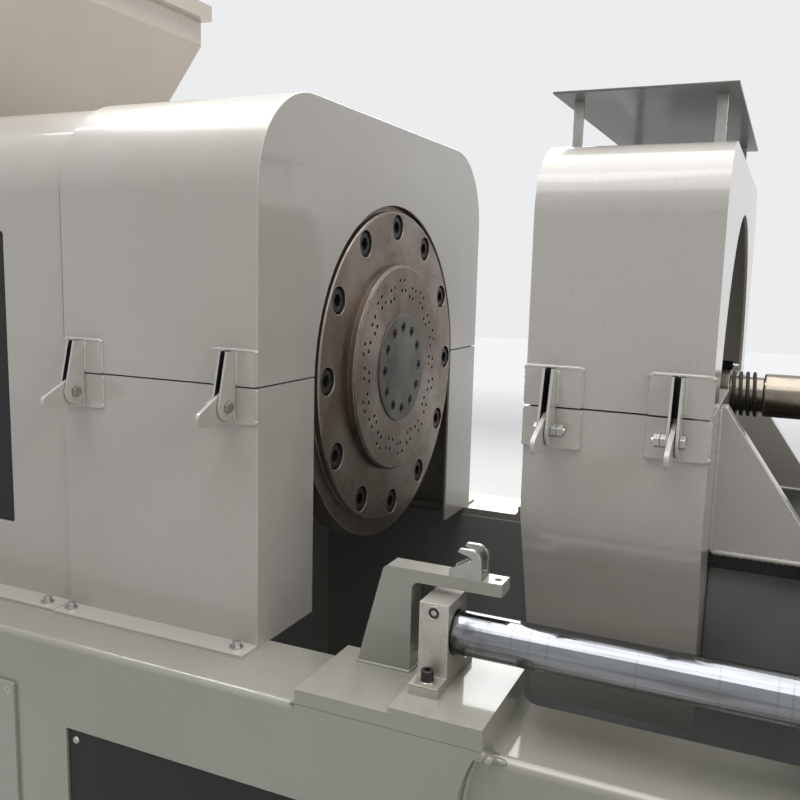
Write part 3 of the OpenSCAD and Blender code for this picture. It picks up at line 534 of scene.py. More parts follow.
class Palette:
    """The finishes of the machine, one per slot and a few for single pieces or faces."""

    FINISHES = {
        Slot.MACHINE_PAINT: Enamel("warm_grey_enamel", (0.47, 0.445, 0.413), (0.68, 0.67, 0.64)),
        Slot.BED_PAINT: Enamel(
            "bed_grey_enamel", (0.295, 0.29, 0.248), (0.55, 0.55, 0.51), roughness=0.29, coat=1.0, dust=0.15
        ),
        Slot.DARK_PAINT: Enamel(
            "dark_grey_enamel", (0.014, 0.0155, 0.015), (0.07, 0.07, 0.07),
            roughness=0.36, coat=0.0, mirror=0.25, dust=0.04
        ),
        Slot.HOPPER_PAINT: Enamel("hopper_beige_enamel", (0.62, 0.56, 0.49), (0.72, 0.69, 0.64), dust=0.15),
        Slot.DRIVE_PAINT: Enamel(
            "drive_grey_enamel", (0.12, 0.135, 0.15), (0.3, 0.3, 0.3), roughness=0.36, coat=0.2, mirror=0.3
        ),
        Slot.SHEET_GREY: Enamel(
            "sheet_grey_enamel", (0.15, 0.146, 0.141), (0.34, 0.33, 0.32),
            roughness=0.4, coat=0.1, mirror=0.35, dust=0.1
        ),
        Slot.DIE_STEEL: BareMetal(
            "heat_stained_die_steel", (0.25, 0.205, 0.17), (0.13, 0.095, 0.068), (0.80, 0.77, 0.72),
            roughness=0.33, metallic=0.85, grain=Grain.TURNED, grain_scale=1100.0, stains=0.8, spots=0.4,
            stain_scale=8.0, shine=1.0, edge_width=0.0026,
        ),
        Slot.DARK_STEEL: BareMetal(
            "black_oxide_steel", (0.028, 0.028, 0.029), (0.045, 0.04, 0.036), (0.17, 0.17, 0.17),
            roughness=0.42, metallic=0.6, grain=Grain.CAST, grain_scale=700.0, shine=0.5,
        ),
        Slot.ROD_CHROME: GroundChrome("hard_chrome"),
        Slot.BRIGHT_STEEL: BareMetal(
            "turned_steel", (0.25, 0.215, 0.175), (0.13, 0.105, 0.08), (0.55, 0.52, 0.48),
            roughness=0.22, grain=Grain.TURNED, grain_scale=900.0, spots=0.15, stain_scale=24.0,
        ),
        Slot.ALUMINIUM: BareMetal(
            "milled_aluminium", (0.49, 0.47, 0.42), (0.34, 0.32, 0.28), (0.74, 0.73, 0.70),
            roughness=0.4, metallic=0.75, grain_scale=700.0, grain_depth=0.00005, spots=0.25, stain_scale=22.0,
        ),
        Slot.ZINC: BareMetal(
            "zinc_plate", (0.41, 0.41, 0.385), (0.25, 0.245, 0.21), (0.78, 0.78, 0.75),
            roughness=0.26, metallic=0.9, grain=Grain.CAST, grain_scale=900.0, grain_depth=0.00003,
            stain_scale=40.0,
        ),
        Slot.KNIFE_STEEL: BareMetal(
            "ground_knife_steel", (0.58, 0.58, 0.59), (0.42, 0.40, 0.38), (0.82, 0.82, 0.82), roughness=0.22,
        ),
        # a darker copy of the die steel for the centre cap
        Shade.CAP_STEEL: BareMetal(
            "oiled_cap_steel", (0.105, 0.10, 0.088), (0.055, 0.05, 0.042), (0.55, 0.52, 0.47),
            roughness=0.34, metallic=0.85, grain=Grain.TURNED, grain_scale=1100.0, stains=0.8, spots=0.4,
            stain_scale=11.0, shine=0.8, edge_width=0.0018,
        ),
        # painted shade: grey for the inner faces and carriage box, set to how light they look in their shade
        Shade.SHADED_INTERIOR_GREY: Enamel(
            "inner_grey_enamel", (0.25, 0.253, 0.256), (0.34, 0.34, 0.34),
            roughness=0.36, coat=0.1, mirror=0.3, dust=0.1
        ),
        # painted shadow: near-black for the faces inside the hinge slots
        Shade.SLOT_SHADOW: Enamel(
            "slot_black_primer", (0.022, 0.025, 0.03), (0.08, 0.08, 0.08),
            roughness=0.45, coat=0.0, mirror=0.2, dust=0.0, rub=0.0
        ),
        # black rubber of the bearing seals and coupling ring, and the painted shadow of the strips behind the
        # parting gaps
        Shade.RUBBER_AND_GAP_SHADOW: Enamel(
            "seal_rubber", (0.012, 0.012, 0.012), (0.03, 0.03, 0.03),
            roughness=0.6, coat=0.0, mirror=0.2, dust=0.03, rub=0.0
        ),
    }

    def __init__(self) -> None:
        """Builds every material once."""
        shared = SharedEffects()
        self.by_slot = {slot: finish.make(shared) for slot, finish in self.FINISHES.items()}

    def __getitem__(self, slot: Slot | Shade) -> bpy.types.Material:
        """Returns the material of a slot or shade."""
        return self.by_slot[slot]


# Meshes


def on_circle(x: float, radius: float, turn: float) -> tuple[float, float, float]:
    """Returns a spot on a circle about the screw axis, from the top."""
    return (x, radius * math.sin(turn), AXIS_Z + radius * math.cos(turn))


def turned_to(axis: Sequence[float], spot: Sequence[float] = (0, 0, 0)) -> Matrix:
    """Returns the matrix that stands local Z along an axis at a spot."""
    return Matrix.Translation(Vector(spot)) @ Vector(axis).to_track_quat("Z", "Y").to_matrix().to_4x4()


def round_off(mesh: bmesh.types.BMesh, edges: Iterable, width: float, segments: int = 2) -> None:
    """Bevels edges with the same settings everywhere.

    Args:
        mesh: mesh to change.
        edges: edges to round.
        width: width of the bevel.
        segments: number of faces across each bevel.
    """
    chosen = list(edges)
    if chosen and width > 0:
        bmesh.ops.bevel(
            mesh, geom=chosen, offset=width, offset_type="OFFSET", segments=segments,
            profile=0.5, affect="EDGES", clamp_overlap=True, material=-1,
        )


def sharp_edges(mesh: bmesh.types.BMesh, degrees: float = 32.0) -> list:
    """Returns the edges whose two faces meet at more than an angle."""
    limit = math.radians(degrees)
    return [e for e in mesh.edges if len(e.link_faces) == 2 and e.calc_face_angle(0.0) > limit]


class Shape:
    """A mesh under construction, in millimetres from the datum."""

    def __init__(self, name: str) -> None:
        """Starts an empty shape.

        Args:
            name: name of the finished object.
        """
        self.name = name
        self.mesh = bmesh.new()

    def add(self, other: bmesh.types.BMesh, place: Matrix) -> "Shape":
        """Joins a small mesh into this one.

        Args:
            other: mesh to take in, which is freed.
            place: matrix that puts it in place.

        Returns:
            This shape.
        """
        bmesh.ops.transform(other, matrix=place, verts=other.verts)
        scratch = bpy.data.meshes.new("scratch")
        other.to_mesh(scratch)
        other.free()
        self.mesh.from_mesh(scratch)
        bpy.data.meshes.remove(scratch)
        return self

    def block(
        self, low: Sequence[float], high: Sequence[float], edge: float = 0.0, segments: int = 2
    ) -> "Shape":
        """Adds a box between two corners with rounded edges.

        Args:
            low: lowest corner.
            high: highest corner.
            edge: width of its bevels.
            segments: number of faces across each bevel.

        Returns:
            This shape.
        """
        piece = bmesh.new()
        bmesh.ops.create_cube(piece, size=1.0)
        size = [h - l for l, h in zip(low, high)]
        bmesh.ops.scale(piece, vec=size, verts=piece.verts)
        round_off(piece, piece.edges, edge, segments)
        return self.add(piece, Matrix.Translation([(l + h) / 2 for l, h in zip(low, high)]))

    def tube(
        self, start: Sequence[float], end: Sequence[float], radius: float, sides: int = 40, edge: float = 0.0
    ) -> "Shape":
        """Adds a closed cylinder between two points.

        Args:
            start: middle of one end.
            end: middle of the other end.
            radius: radius.
            sides: number of faces around.
            edge: width of its bevels.

        Returns:
            This shape.
        """
        a, b = Vector(start), Vector(end)
        piece = bmesh.new()
        bmesh.ops.create_cone(
            piece, cap_ends=True, segments=sides, radius1=radius, radius2=radius, depth=(b - a).length
        )
        rims = [e for e in piece.edges if any(len(f.verts) == sides for f in e.link_faces)]
        round_off(piece, rims, edge)
        return self.add(piece, turned_to(b - a, (a + b) / 2))

    def lathe(
        self, profile: Sequence[tuple[float, float]], spot: Sequence[float], axis: Sequence[float],
        steps: int = 48,
    ) -> "Shape":
        """Spins an open profile of radius and height about an axis.

        Args:
            profile: radius and height of each point, first and last on the axis or closed by the caller.
            spot: foot of the axis.
            axis: direction of the axis.
            steps: number of steps in the full turn.

        Returns:
            This shape.
        """
        piece = bmesh.new()
        points = [piece.verts.new((r, 0.0, h)) for r, h in profile]
        edges = [piece.edges.new(pair) for pair in zip(points, points[1:])]
        bmesh.ops.spin(
            piece, geom=points + edges, cent=(0, 0, 0), axis=(0, 0, 1),
            angle=math.tau, steps=steps, use_merge=True,
        )
        bmesh.ops.remove_doubles(piece, verts=piece.verts, dist=1e-4)
        bmesh.ops.recalc_face_normals(piece, faces=piece.faces)
        return self.add(piece, turned_to(axis, spot))

    def ring(
        self, spot: Sequence[float], axis: Sequence[float], inner: float, outer: float, tall: float,
        edge: float = 0.6,
    ) -> "Shape":
        """Adds a flat ring with chamfered rims, standing on a spot along an axis.

        Args:
            spot: middle of its foot.
            axis: direction that it stands along.
            inner: inner radius.
            outer: outer radius.
            tall: height.
            edge: width of its chamfers.

        Returns:
            This shape.
        """
        profile = [
            (inner, 0.0), (outer, 0.0), (outer, tall - edge), (outer - edge, tall), (inner + edge, tall),
            (inner, tall - edge), (inner, 0.0),
        ]
        return self.lathe(profile, spot, axis)

    def cove(self, corner: Sequence[float], out: Vector, up: Vector, along: Vector, radius: float) -> "Shape":
        """Adds a hollow fillet in an inside corner.

        Args:
            corner: start of the corner's line.
            out: unit direction along the floor.
            up: unit direction along the wall.
            along: vector from the start of the corner's line to its end.
            radius: radius of the hollow.

        Returns:
            This shape.
        """
        piece = bmesh.new()
        turns = [i * math.pi / 20 for i in range(11)]
        flat = [(0.0, 0.0)] + [(radius * (1 - math.sin(t)), radius * (1 - math.cos(t))) for t in turns]
        face = piece.faces.new([piece.verts.new(Vector(corner) + out * p + up * q) for p, q in flat])
        grown = bmesh.ops.extrude_face_region(piece, geom=[face])["geom"]
        bmesh.ops.translate(piece, vec=along, verts=[g for g in grown if isinstance(g, bmesh.types.BMVert)])
        bmesh.ops.recalc_face_normals(piece, faces=piece.faces)
        return self.add(piece, Matrix.Identity(4))

    def blob(self, spot: Sequence[float], size: Sequence[float], seed: int = 1) -> "Shape":
        """Adds a lumpy drop of weld metal.

        Args:
            spot: middle of the drop.
            size: its three half sizes.
            seed: seed of its lumps.

        Returns:
            This shape.
        """
        dice = random.Random(seed)
        piece = bmesh.new()
        bmesh.ops.create_icosphere(piece, subdivisions=3, radius=1.0)
        for vert in piece.verts:
            vert.co *= 1.0 + dice.uniform(-0.22, 0.16)
        bmesh.ops.smooth_vert(
            piece, verts=piece.verts, factor=0.5, use_axis_x=True, use_axis_y=True, use_axis_z=True
        )
        bmesh.ops.scale(piece, vec=size, verts=piece.verts)
        return self.add(piece, Matrix.Translation(spot))

    def hex_bolt(
        self, foot: Sequence[float], axis: Sequence[float], across: float, washer: float = 0.0,
        stud: float = 0.0,
    ) -> "Shape":
        """Adds a chamfered hexagon head on a washer, with a stud end if it is a nut.

        Args:
            foot: foot of the head or washer.
            axis: direction that it stands along.
            across: width across flats.
            washer: radius of the washer, or 0 for none.
            stud: length of thread over the nut.

        Returns:
            This shape.
        """
        up = Vector(axis).normalized()
        spot = Vector(foot)
        if washer:
            self.tube(spot, spot + up * 1.6, washer, sides=32, edge=0.3)
            spot = spot + up * 1.6
        head = bmesh.new()
        tall = across * 0.62
        corner = across / 2 / math.cos(math.pi / 6)
        bmesh.ops.create_cone(head, cap_ends=True, segments=6, radius1=corner, radius2=corner, depth=tall)
        top = [e for e in head.edges if all(v.co.z > 0 for v in e.verts)]
        round_off(head, top, across * 0.07, 2)
        self.add(head, turned_to(up, spot + up * tall / 2) @ Matrix.Rotation(0.4, 4, "Z"))
        self.tube(spot + up * (tall - 0.4), spot + up * (tall + 0.5 + stud), across * 0.33, sides=24, edge=0.4)
        return self

    def socket_screw(
        self, foot: Sequence[float], axis: Sequence[float], radius: float, tall: float, washer: float = 0.0
    ) -> "Shape":
        """Adds a cap screw whose head has a hexagon socket.

        Args:
            foot: foot of the head or washer.
            axis: direction that it stands along.
            radius: radius of the head.
            tall: height of the head.
            washer: radius of the washer, or 0 for none.

        Returns:
            This shape.
        """
        up = Vector(axis).normalized()
        spot = Vector(foot)
        if washer:
            self.tube(spot, spot + up * 2.0, washer, sides=32, edge=0.4)
            spot = spot + up * 2.0
        head = bmesh.new()
        sides = 24
        bmesh.ops.create_cone(head, cap_ends=True, segments=sides, radius1=radius, radius2=radius, depth=tall)
        cap = max(head.faces, key=lambda f: f.calc_center_median().z)
        bmesh.ops.inset_individual(head, faces=[cap], thickness=radius * 0.08, depth=0.0)
        bmesh.ops.translate(head, vec=(0, 0, radius * 0.07), verts=list(cap.verts))
        bmesh.ops.inset_individual(head, faces=[cap], thickness=radius * 0.36, depth=0.0)
        reach = radius * 0.5
        for vert in cap.verts:
            turn = math.atan2(vert.co.y, vert.co.x)
            out = reach / math.cos((turn % (math.pi / 3)) - math.pi / 6)
            vert.co.x, vert.co.y = out * math.cos(turn), out * math.sin(turn)
        sunk = bmesh.ops.extrude_discrete_faces(head, faces=[cap])["faces"]
        bmesh.ops.translate(head, vec=(0, 0, -tall * 0.6), verts=list(sunk[0].verts))
        return self.add(head, turned_to(up, spot + up * tall / 2))

    def bead(self, path: Sequence[Sequence[float]], radius: float, seed: int = 1) -> "Shape":
        """Lays a weld bead with small ripples along a path.

        Args:
            path: corner points of the bead's middle line.
            radius: radius of the bead.
            seed: seed of the ripples.

        Returns:
            This shape.
        """
        dice = random.Random(seed)
        spots: list[Vector] = []
        for a, b in zip(map(Vector, path), map(Vector, path[1:])):
            count = max(2, int((b - a).length / (radius * 1.1)))
            spots += [a.lerp(b, i / count) for i in range(count)]
        spots.append(Vector(path[-1]))
        piece = bmesh.new()
        ring = bmesh.ops.create_circle(piece, cap_ends=False, segments=7, radius=radius * 0.6)["verts"]
        before = turned_to(spots[1] - spots[0], spots[0])
        bmesh.ops.transform(piece, matrix=before, verts=ring)
        edges = list(piece.edges)
        bmesh.ops.contextual_create(piece, geom=edges)
        for i in range(1, len(spots)):
            after = turned_to(spots[i] - spots[i - 1], spots[i])
            grown = bmesh.ops.extrude_edge_only(piece, edges=edges)["geom"]
            verts = [g for g in grown if isinstance(g, bmesh.types.BMVert)]
            edges = [g for g in grown if isinstance(g, bmesh.types.BMEdge)]
            size = radius * (1.0 + (0.12 if i % 2 else -0.1) + dice.uniform(-0.08, 0.08))
            if i == len(spots) - 1:
                size = radius * 0.6
            bmesh.ops.transform(piece, matrix=after @ before.inverted(), verts=verts)
            middle = sum((v.co for v in verts), Vector()) / len(verts)
            for vert in verts:
                vert.co = middle + (vert.co - middle).normalized() * size
            before = after
        bmesh.ops.contextual_create(piece, geom=edges)
        bmesh.ops.recalc_face_normals(piece, faces=piece.faces)
        return self.add(piece, Matrix.Identity(4))

    def both_sides(self) -> "Shape":
        """Repeats everything so far on the far side.

        Returns:
            This shape.
        """
        whole = self.mesh.verts[:] + self.mesh.edges[:] + self.mesh.faces[:]
        bmesh.ops.mirror(self.mesh, geom=whole, axis="Y", merge_dist=-1.0)
        bmesh.ops.recalc_face_normals(self.mesh, faces=self.mesh.faces)
        return self

    def finish(
        self, body: Body, slot: Slot, palette: Palette, angle: float = 40.0, weighted: bool = True,
        shade: Optional[Shade] = None,
    ) -> bpy.types.Object:
        """Makes the object, in the row frame, and dresses it.

        Args:
            body: body that it rides on.
            slot: finish that it takes.
            palette: materials of the machine.
            angle: faces that meet at more than this stay sharp, in degrees.
            weighted: whether large faces keep their flat shading.
            shade: finish that stands in for the slot's own.

        Returns:
            The finished object.
        """
        bmesh.ops.transform(self.mesh, matrix=TO_ROW, verts=self.mesh.verts)
        piece = finish_mesh(self.mesh, self.name, body, slot, palette, angle, weighted)
        if shade is not None:
            piece.data.materials[0] = palette[shade]
        return piece


def finish_mesh(
    mesh: bmesh.types.BMesh, name: str, body: Body, slot: Slot, palette: Palette, angle: float, weighted: bool
) -> bpy.types.Object:
    """Turns a mesh in the row frame into an object that rides on a body.

    Args:
        mesh: mesh in the row frame, which is freed.
        name: name of the object.
        body: body that it rides on.
        slot: finish that it takes.
        palette: materials of the machine.
        angle: faces that meet at more than this stay sharp, in degrees.
        weighted: whether large faces keep their flat shading.

    Returns:
        The finished object.
    """
    data = bpy.data.meshes.new(name)
    mesh.to_mesh(data)
    mesh.free()
    for polygon in data.polygons:
        polygon.use_smooth = True
    data.set_sharp_from_angle(angle=math.radians(angle))
    data.materials.append(palette[slot])
    piece = bpy.data.objects.new(name, data)
    bpy.context.scene.collection.objects.link(piece)
    if weighted:
        shading = piece.modifiers.new("flat_faces", "WEIGHTED_NORMAL")
        shading.keep_sharp = True
    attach(piece, body.value)
    LOG.info("%s: %d faces on %s", name, len(data.polygons), body.value)
    return piece


@dataclass(frozen=True)
class Inlay:
    """Faces of a copied node that take another finish, by their middle in the datum frame."""

    shade: Shade
    where: Callable[[Vector], bool]


@dataclass(frozen=True)
class Edging:
    """One bevel pass over a copied node."""

    width: float
    segments: int = 2
    where: Optional[Callable[[Vector, Vector], bool]] = None
    degrees: float = 32.0


@dataclass
class Dresser:
    """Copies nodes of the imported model, rounds their edges and paints them."""

    frame: dict
    palette: Palette
    done: list[str] = field(default_factory=list)

    def copy(self, node: str) -> bmesh.types.BMesh:
        """Returns a merged copy of a node with flat faces joined.

        Args:
            node: name of the node.

        Returns:
            The copy, still in the row frame.
        """
        mesh = bmesh.new()
        mesh.from_mesh(self.frame["nodes"][node].data)
        bmesh.ops.remove_doubles(mesh, verts=mesh.verts, dist=3e-6)
        bmesh.ops.dissolve_limit(
            mesh, angle_limit=math.radians(0.4), use_dissolve_boundaries=False,
            verts=mesh.verts, edges=mesh.edges,
        )
        return mesh

    def dress(
        self, node: str, body: Body, slot: Slot, *passes: Edging, inlay: Optional[Inlay] = None,
        shade: Optional[Shade] = None,
    ) -> bpy.types.Object:
        """Replaces a node by its rounded copy.

        Args:
            node: name of the node.
            body: body that it rides on.
            slot: finish that it takes.
            *passes: bevels in order, widths in millimetres.
            inlay: faces that take another finish.
            shade: finish that stands in for the slot's own.

        Returns:
            The finished piece.
        """
        mesh = self.copy(node)
        to_datum = TO_ROW.inverted()
        for turn in passes:
            edges = sharp_edges(mesh, turn.degrees)
            if turn.where is not None:
                edges = [e for e in edges if turn.where(to_datum @ e.verts[0].co, to_datum @ e.verts[1].co)]
            round_off(mesh, edges, turn.width * MM, turn.segments)
        if inlay is not None:
            for face in mesh.faces:
                if inlay.where(to_datum @ face.calc_center_median()):
                    face.material_index = 1
        piece = finish_mesh(mesh, node + "_finished", body, slot, self.palette, NODE_ANGLE, True)
        if shade is not None:
            piece.data.materials[0] = self.palette[shade]
        if inlay is not None:
            piece.data.materials.append(self.palette[inlay.shade])
        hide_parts(node)
        self.done.append(node)
        return piece


# Sub-assemblies


@dataclass
class Bed:
    """Side beams, rail frames, panels and levelling feet."""

    half: float = 503.0
    rail_half: float = 480.0
    inner_half: float = 347.0
    pad_x: tuple[float, float] = (117.0, 340.0)
    rail_top: float = -16.0
    arc_middle: tuple[float, float] = (473.0, -85.0)
    arc_r: float = 160.0
    panel_x: tuple[float, float] = (-231.0, 239.0)
    panel_z: tuple[float, float] = (-527.0, -117.0)
    plate_x: tuple[float, float] = (-879.0, -319.0)
    plate_z: tuple[float, float] = (-520.0, -74.0)
    plate_step: float = 571.0

    def build(self, dresser: Dresser) -> None:
        """Rounds and paints the bed's own nodes.

        Args:
            dresser: copies and paints the nodes.
        """

        def off_joint(a: Vector, b: Vector) -> bool:
            """Whether an edge is clear of the joint between beam and rail frame."""
            return max(abs(a.x - self.pad_x[1]), abs(b.x - self.pad_x[1])) > 0.3

        for node in ("side_beam_near", "side_beam_far", "deck_plate"):
            dresser.dress(node, Body.MACHINE, Slot.BED_PAINT, Edging(1.4, 2, off_joint))
        for node in ("rail_frame_near", "rail_frame_far"):
            dresser.dress(node, Body.MACHINE, Slot.BED_PAINT, Edging(3.5, 3, off_joint))
        dresser.dress("bed_cover_plates", Body.MACHINE, Slot.BED_PAINT, Edging(0.8))
        dresser.dress("bed_dark_panels", Body.MACHINE, Slot.DARK_PAINT, Edging(0.8))
        # the inner parts take the painted-shade grey in place of the dark paint
        for node in ("bed_cross_members", "bed_liners"):
            dresser.dress(node, Body.MACHINE, Slot.DARK_PAINT, Edging(0.8), shade=Shade.SHADED_INTERIOR_GREY)
        dresser.dress("levelling_feet", Body.MACHINE, Slot.DARK_STEEL, Edging(1.2))

    def join(self, palette: Palette) -> None:
        """Adds the painted seams where pad, beam and rail frame are welded together.

        Args:
            palette: materials of the machine.
        """
        seams = Shape("beam_end_seams")
        seams.block((self.pad_x[0], -self.half, -10.1), (self.pad_x[1], -self.half + 12, 0.4))
        seams.cove(
            (self.pad_x[1] - 0.2, -self.inner_half - 1, self.rail_top - 0.2),
            Vector((1, 0, 0)), Vector((0, 0, 1)),
            Vector((0, -(self.rail_half - self.inner_half - 10), 0)), 15.0,
        )
        arc = []
        for i in range(13):
            z = self.rail_top - 6 - i * 22
            drop = min(0.0, self.arc_middle[1] - z)
            reach = math.sqrt(self.arc_r ** 2 - drop ** 2)
            arc.append((self.arc_middle[0] - reach + 1.5, -self.rail_half - 0.5, z))
        seams.bead(arc, 4.2, 11)
        x, y = self.pad_x[1], -self.half
        seams.blob((x - 3.5, y + 4.5, -5.0), (8.5, 5.0, 6.5), 3)
        seams.blob((x + 4.0, y + 10.0, -11.0), (8.0, 8.0, 5.5), 5)
        seams.blob((x + 12.0, -self.rail_half + 2.0, -19.0), (9.0, 4.5, 3.6), 8)
        seams.both_sides().finish(Body.MACHINE, Slot.BED_PAINT, palette, 55.0)

    def fasten(self, palette: Palette) -> None:
        """Adds the panels' screws and the cover plates' flush screws.

        Args:
            palette: materials of the machine.
        """
        screws = Shape("bed_panel_screws")
        y = -self.half + 3.0
        for x in (self.panel_x[0] + 14, self.panel_x[1] - 14):
            for z in (self.panel_z[0] + 16, self.panel_z[1] - 16):
                screws.lathe([(0, 2.6), (2.4, 2.5), (4.4, 1.6), (5.2, 0.0)], (x, y, z), (0, -1, 0), 20)
        screws.both_sides().finish(Body.MACHINE, Slot.ZINC, palette)
        bolts = Shape("bed_plate_bolts")
        for i in range(2):
            x0, x1 = (x - i * self.plate_step for x in self.plate_x)
            for x in (x0 + 11, (x0 + x1) / 2, x1 - 11):
                for z in (self.plate_z[0] + 11, (sum(self.plate_z)) / 2, self.plate_z[1] - 11):
                    if x != (x0 + x1) / 2 or z != sum(self.plate_z) / 2:
                        bolts.socket_screw((x, -self.half - 2.0, z), (0, -1, 0), 6.0, 2.6)
        bolts.both_sides().finish(Body.MACHINE, Slot.ZINC, palette)


@dataclass
class Covers:
    """Barrel cover, die guard and their foot flanges."""

    half: float = 402.0
    bolt_y: float = 417.0
    bolts_x: tuple[float, ...] = (-348.0, -303.0, -22.0, -660.0, -990.0)
    top: float = 715.0
    shoulder: float = 135.0

    def build(self, dresser: Dresser) -> None:
        """Rounds and paints the covers.

        Args:
            dresser: copies and paints the nodes.
        """

        def outer_front(a: Vector, b: Vector) -> bool:
            """Whether an edge runs along the guard's outer front corner."""
            return min(a.x, b.x) > -0.2 and all(self.on_arch(p) for p in (a, b))

        def on_hinge(a: Vector, b: Vector) -> bool:
            """Whether an edge is on a hinge, off the cover's wall."""
            return max(a.y, b.y) < -self.half - 4.6 and min(a.z, b.z) > 150

        for node, body in (("guard_cover", Body.GUARD), ("guard_lower", Body.MACHINE)):
            dresser.dress(
                node, body, Slot.MACHINE_PAINT,
                Edging(3.4, 4, outer_front), Edging(1.15, 3, on_hinge), Edging(0.5),
                inlay=hinge_slots(self.half, GUARD_HINGES) if body is Body.GUARD else None,
            )
        dresser.dress("barrel_cover", Body.MACHINE, Slot.MACHINE_PAINT, Edging(2.0, 2))
        dresser.dress("barrel_cover_panels", Body.MACHINE, Slot.DARK_PAINT, Edging(0.8))

    def on_arch(self, point: Vector) -> bool:
        """Whether a point is on the guard's outer outline.

        Args:
            point: point in the datum frame.

        Returns:
            True if the point lies on the outline.
        """
        y, z, r = abs(point.y), point.z, self.shoulder
        if z <= self.top - r:
            return abs(y - self.half) < 0.3
        if y <= self.half - r:
            return abs(z - self.top) < 0.3
        return abs(math.hypot(y - self.half + r, z - self.top + r) - r) < 0.4

    def fasten(self, palette: Palette) -> None:
        """Bolts the foot flanges down and puts near-black strips behind the guard's parting gap, a painted
        shadow.

        Args:
            palette: materials of the machine.
        """
        bolts = Shape("cover_foot_bolts")
        for x in self.bolts_x:
            bolts.hex_bolt((x, -self.bolt_y, 4.0), (0, 0, 1), 10.0, 9.0)
        bolts.both_sides().finish(Body.MACHINE, Slot.ZINC, palette)
        # painted shadow: near-black strips behind the guard's parting gap
        parting_shadow_strips("guard_parting_shadow_strips", self.half - SHEET, (-310.0, -6.0)).finish(
            Body.MACHINE, Slot.DARK_PAINT, palette, shade=Shade.RUBBER_AND_GAP_SHADOW
        )


def hinge_slots(half: float, places: Sequence[float]) -> Inlay:
    """Returns the faces inside the slots between a cover's hinge ears, which are painted near-black as the
    slots' shadow.

    Args:
        half: half the cover's width.
        places: places of its hinges along X.

    Returns:
        The inlay for those faces.
    """

    def inside(middle: Vector) -> bool:
        """Whether a face looks into a slot or lies at its back."""
        return middle.y < -half - 3.6 and any(abs(middle.x - x + HINGE_SHIFT) < HINGE_SLOT for x in places)

    return Inlay(Shade.SLOT_SHADOW, inside)


def parting_shadow_strips(name: str, wall: float, reach: tuple[float, float]) -> Shape:
    """Returns near-black strips inside both walls at the height where the covers part, a painted shadow behind
    the parting gap.

    Args:
        name: name of the strips.
        wall: half the width inside the walls.
        reach: first and last X.

    Returns:
        The strips, still unfinished.
    """
    strips = Shape(name)
    strips.block((reach[0], -wall + 0.4, SHADOW_STRIP_Z[0]), (reach[1], -wall + 2.6, SHADOW_STRIP_Z[1]), 0.5)
    return strips.both_sides()


@dataclass
class CoverHinge:
    """Welds and pins of one pair of cover hinges."""

    name: str
    half: float
    places: tuple[float, float]
    fixed: Body
    moving: Body
    wide: float = 64.0
    tall: float = 44.0
    parting: float = 340.0
    ear: float = 6.3
    leaf: float = 2.9

    def build(self, dresser: Dresser, pins: str) -> None:
        """Rounds the pins and lays the weld beads.

        Args:
            dresser: copies and paints the nodes.
            pins: node of the hinges' pins.
        """
        dresser.dress(pins, self.fixed, Slot.ZINC, Edging(0.7, 2, degrees=50.0))
        upper, lower = Shape(self.name + "_ear_welds"), Shape(self.name + "_leaf_welds")
        wall = -self.half
        for seed, x in enumerate(self.places):
            for shape, s in ((upper, 1), (lower, -1)):
                z0, z1 = self.parting + s * 2, self.parting + s * (self.tall + 1)
                left, right = x - self.wide / 2, x + self.wide / 2
                shape.bead([(left, wall - 0.4, z0), (left, wall - 0.4, z1)], 2.4, seed + 1)
                shape.bead([(right, wall - 0.4, z0), (right, wall - 0.4, z1)], 2.4, seed + 2)
                shape.bead([(left, wall - 1.4, z1), (right, wall - 1.4, z1)], 3.0, seed + 7)
                for corner in (left + 1, right - 1):
                    shape.blob((corner, wall - 1.2, z1 - s * 1.5), (4.2, 3.0, 3.6), seed + 11)
            for s in (-1, 1):
                side = x - HINGE_SHIFT + s * (self.ear + 0.4)
                foot, head = self.parting + 3, self.parting + self.tall - 1
                upper.bead([(side, wall - 4, foot), (side, wall - 4, head)], 2.4, seed + 3)
                side = x - HINGE_SHIFT + s * self.leaf
                foot, head = self.parting - self.tall + 1, self.parting - 5
                lower.bead([(side, wall - 4, foot), (side, wall - 4, head)], 2.4, seed + 5)
        upper.finish(self.moving, Slot.MACHINE_PAINT, dresser.palette, 60.0, False)
        lower.finish(self.fixed, Slot.MACHINE_PAINT, dresser.palette, 60.0, False)


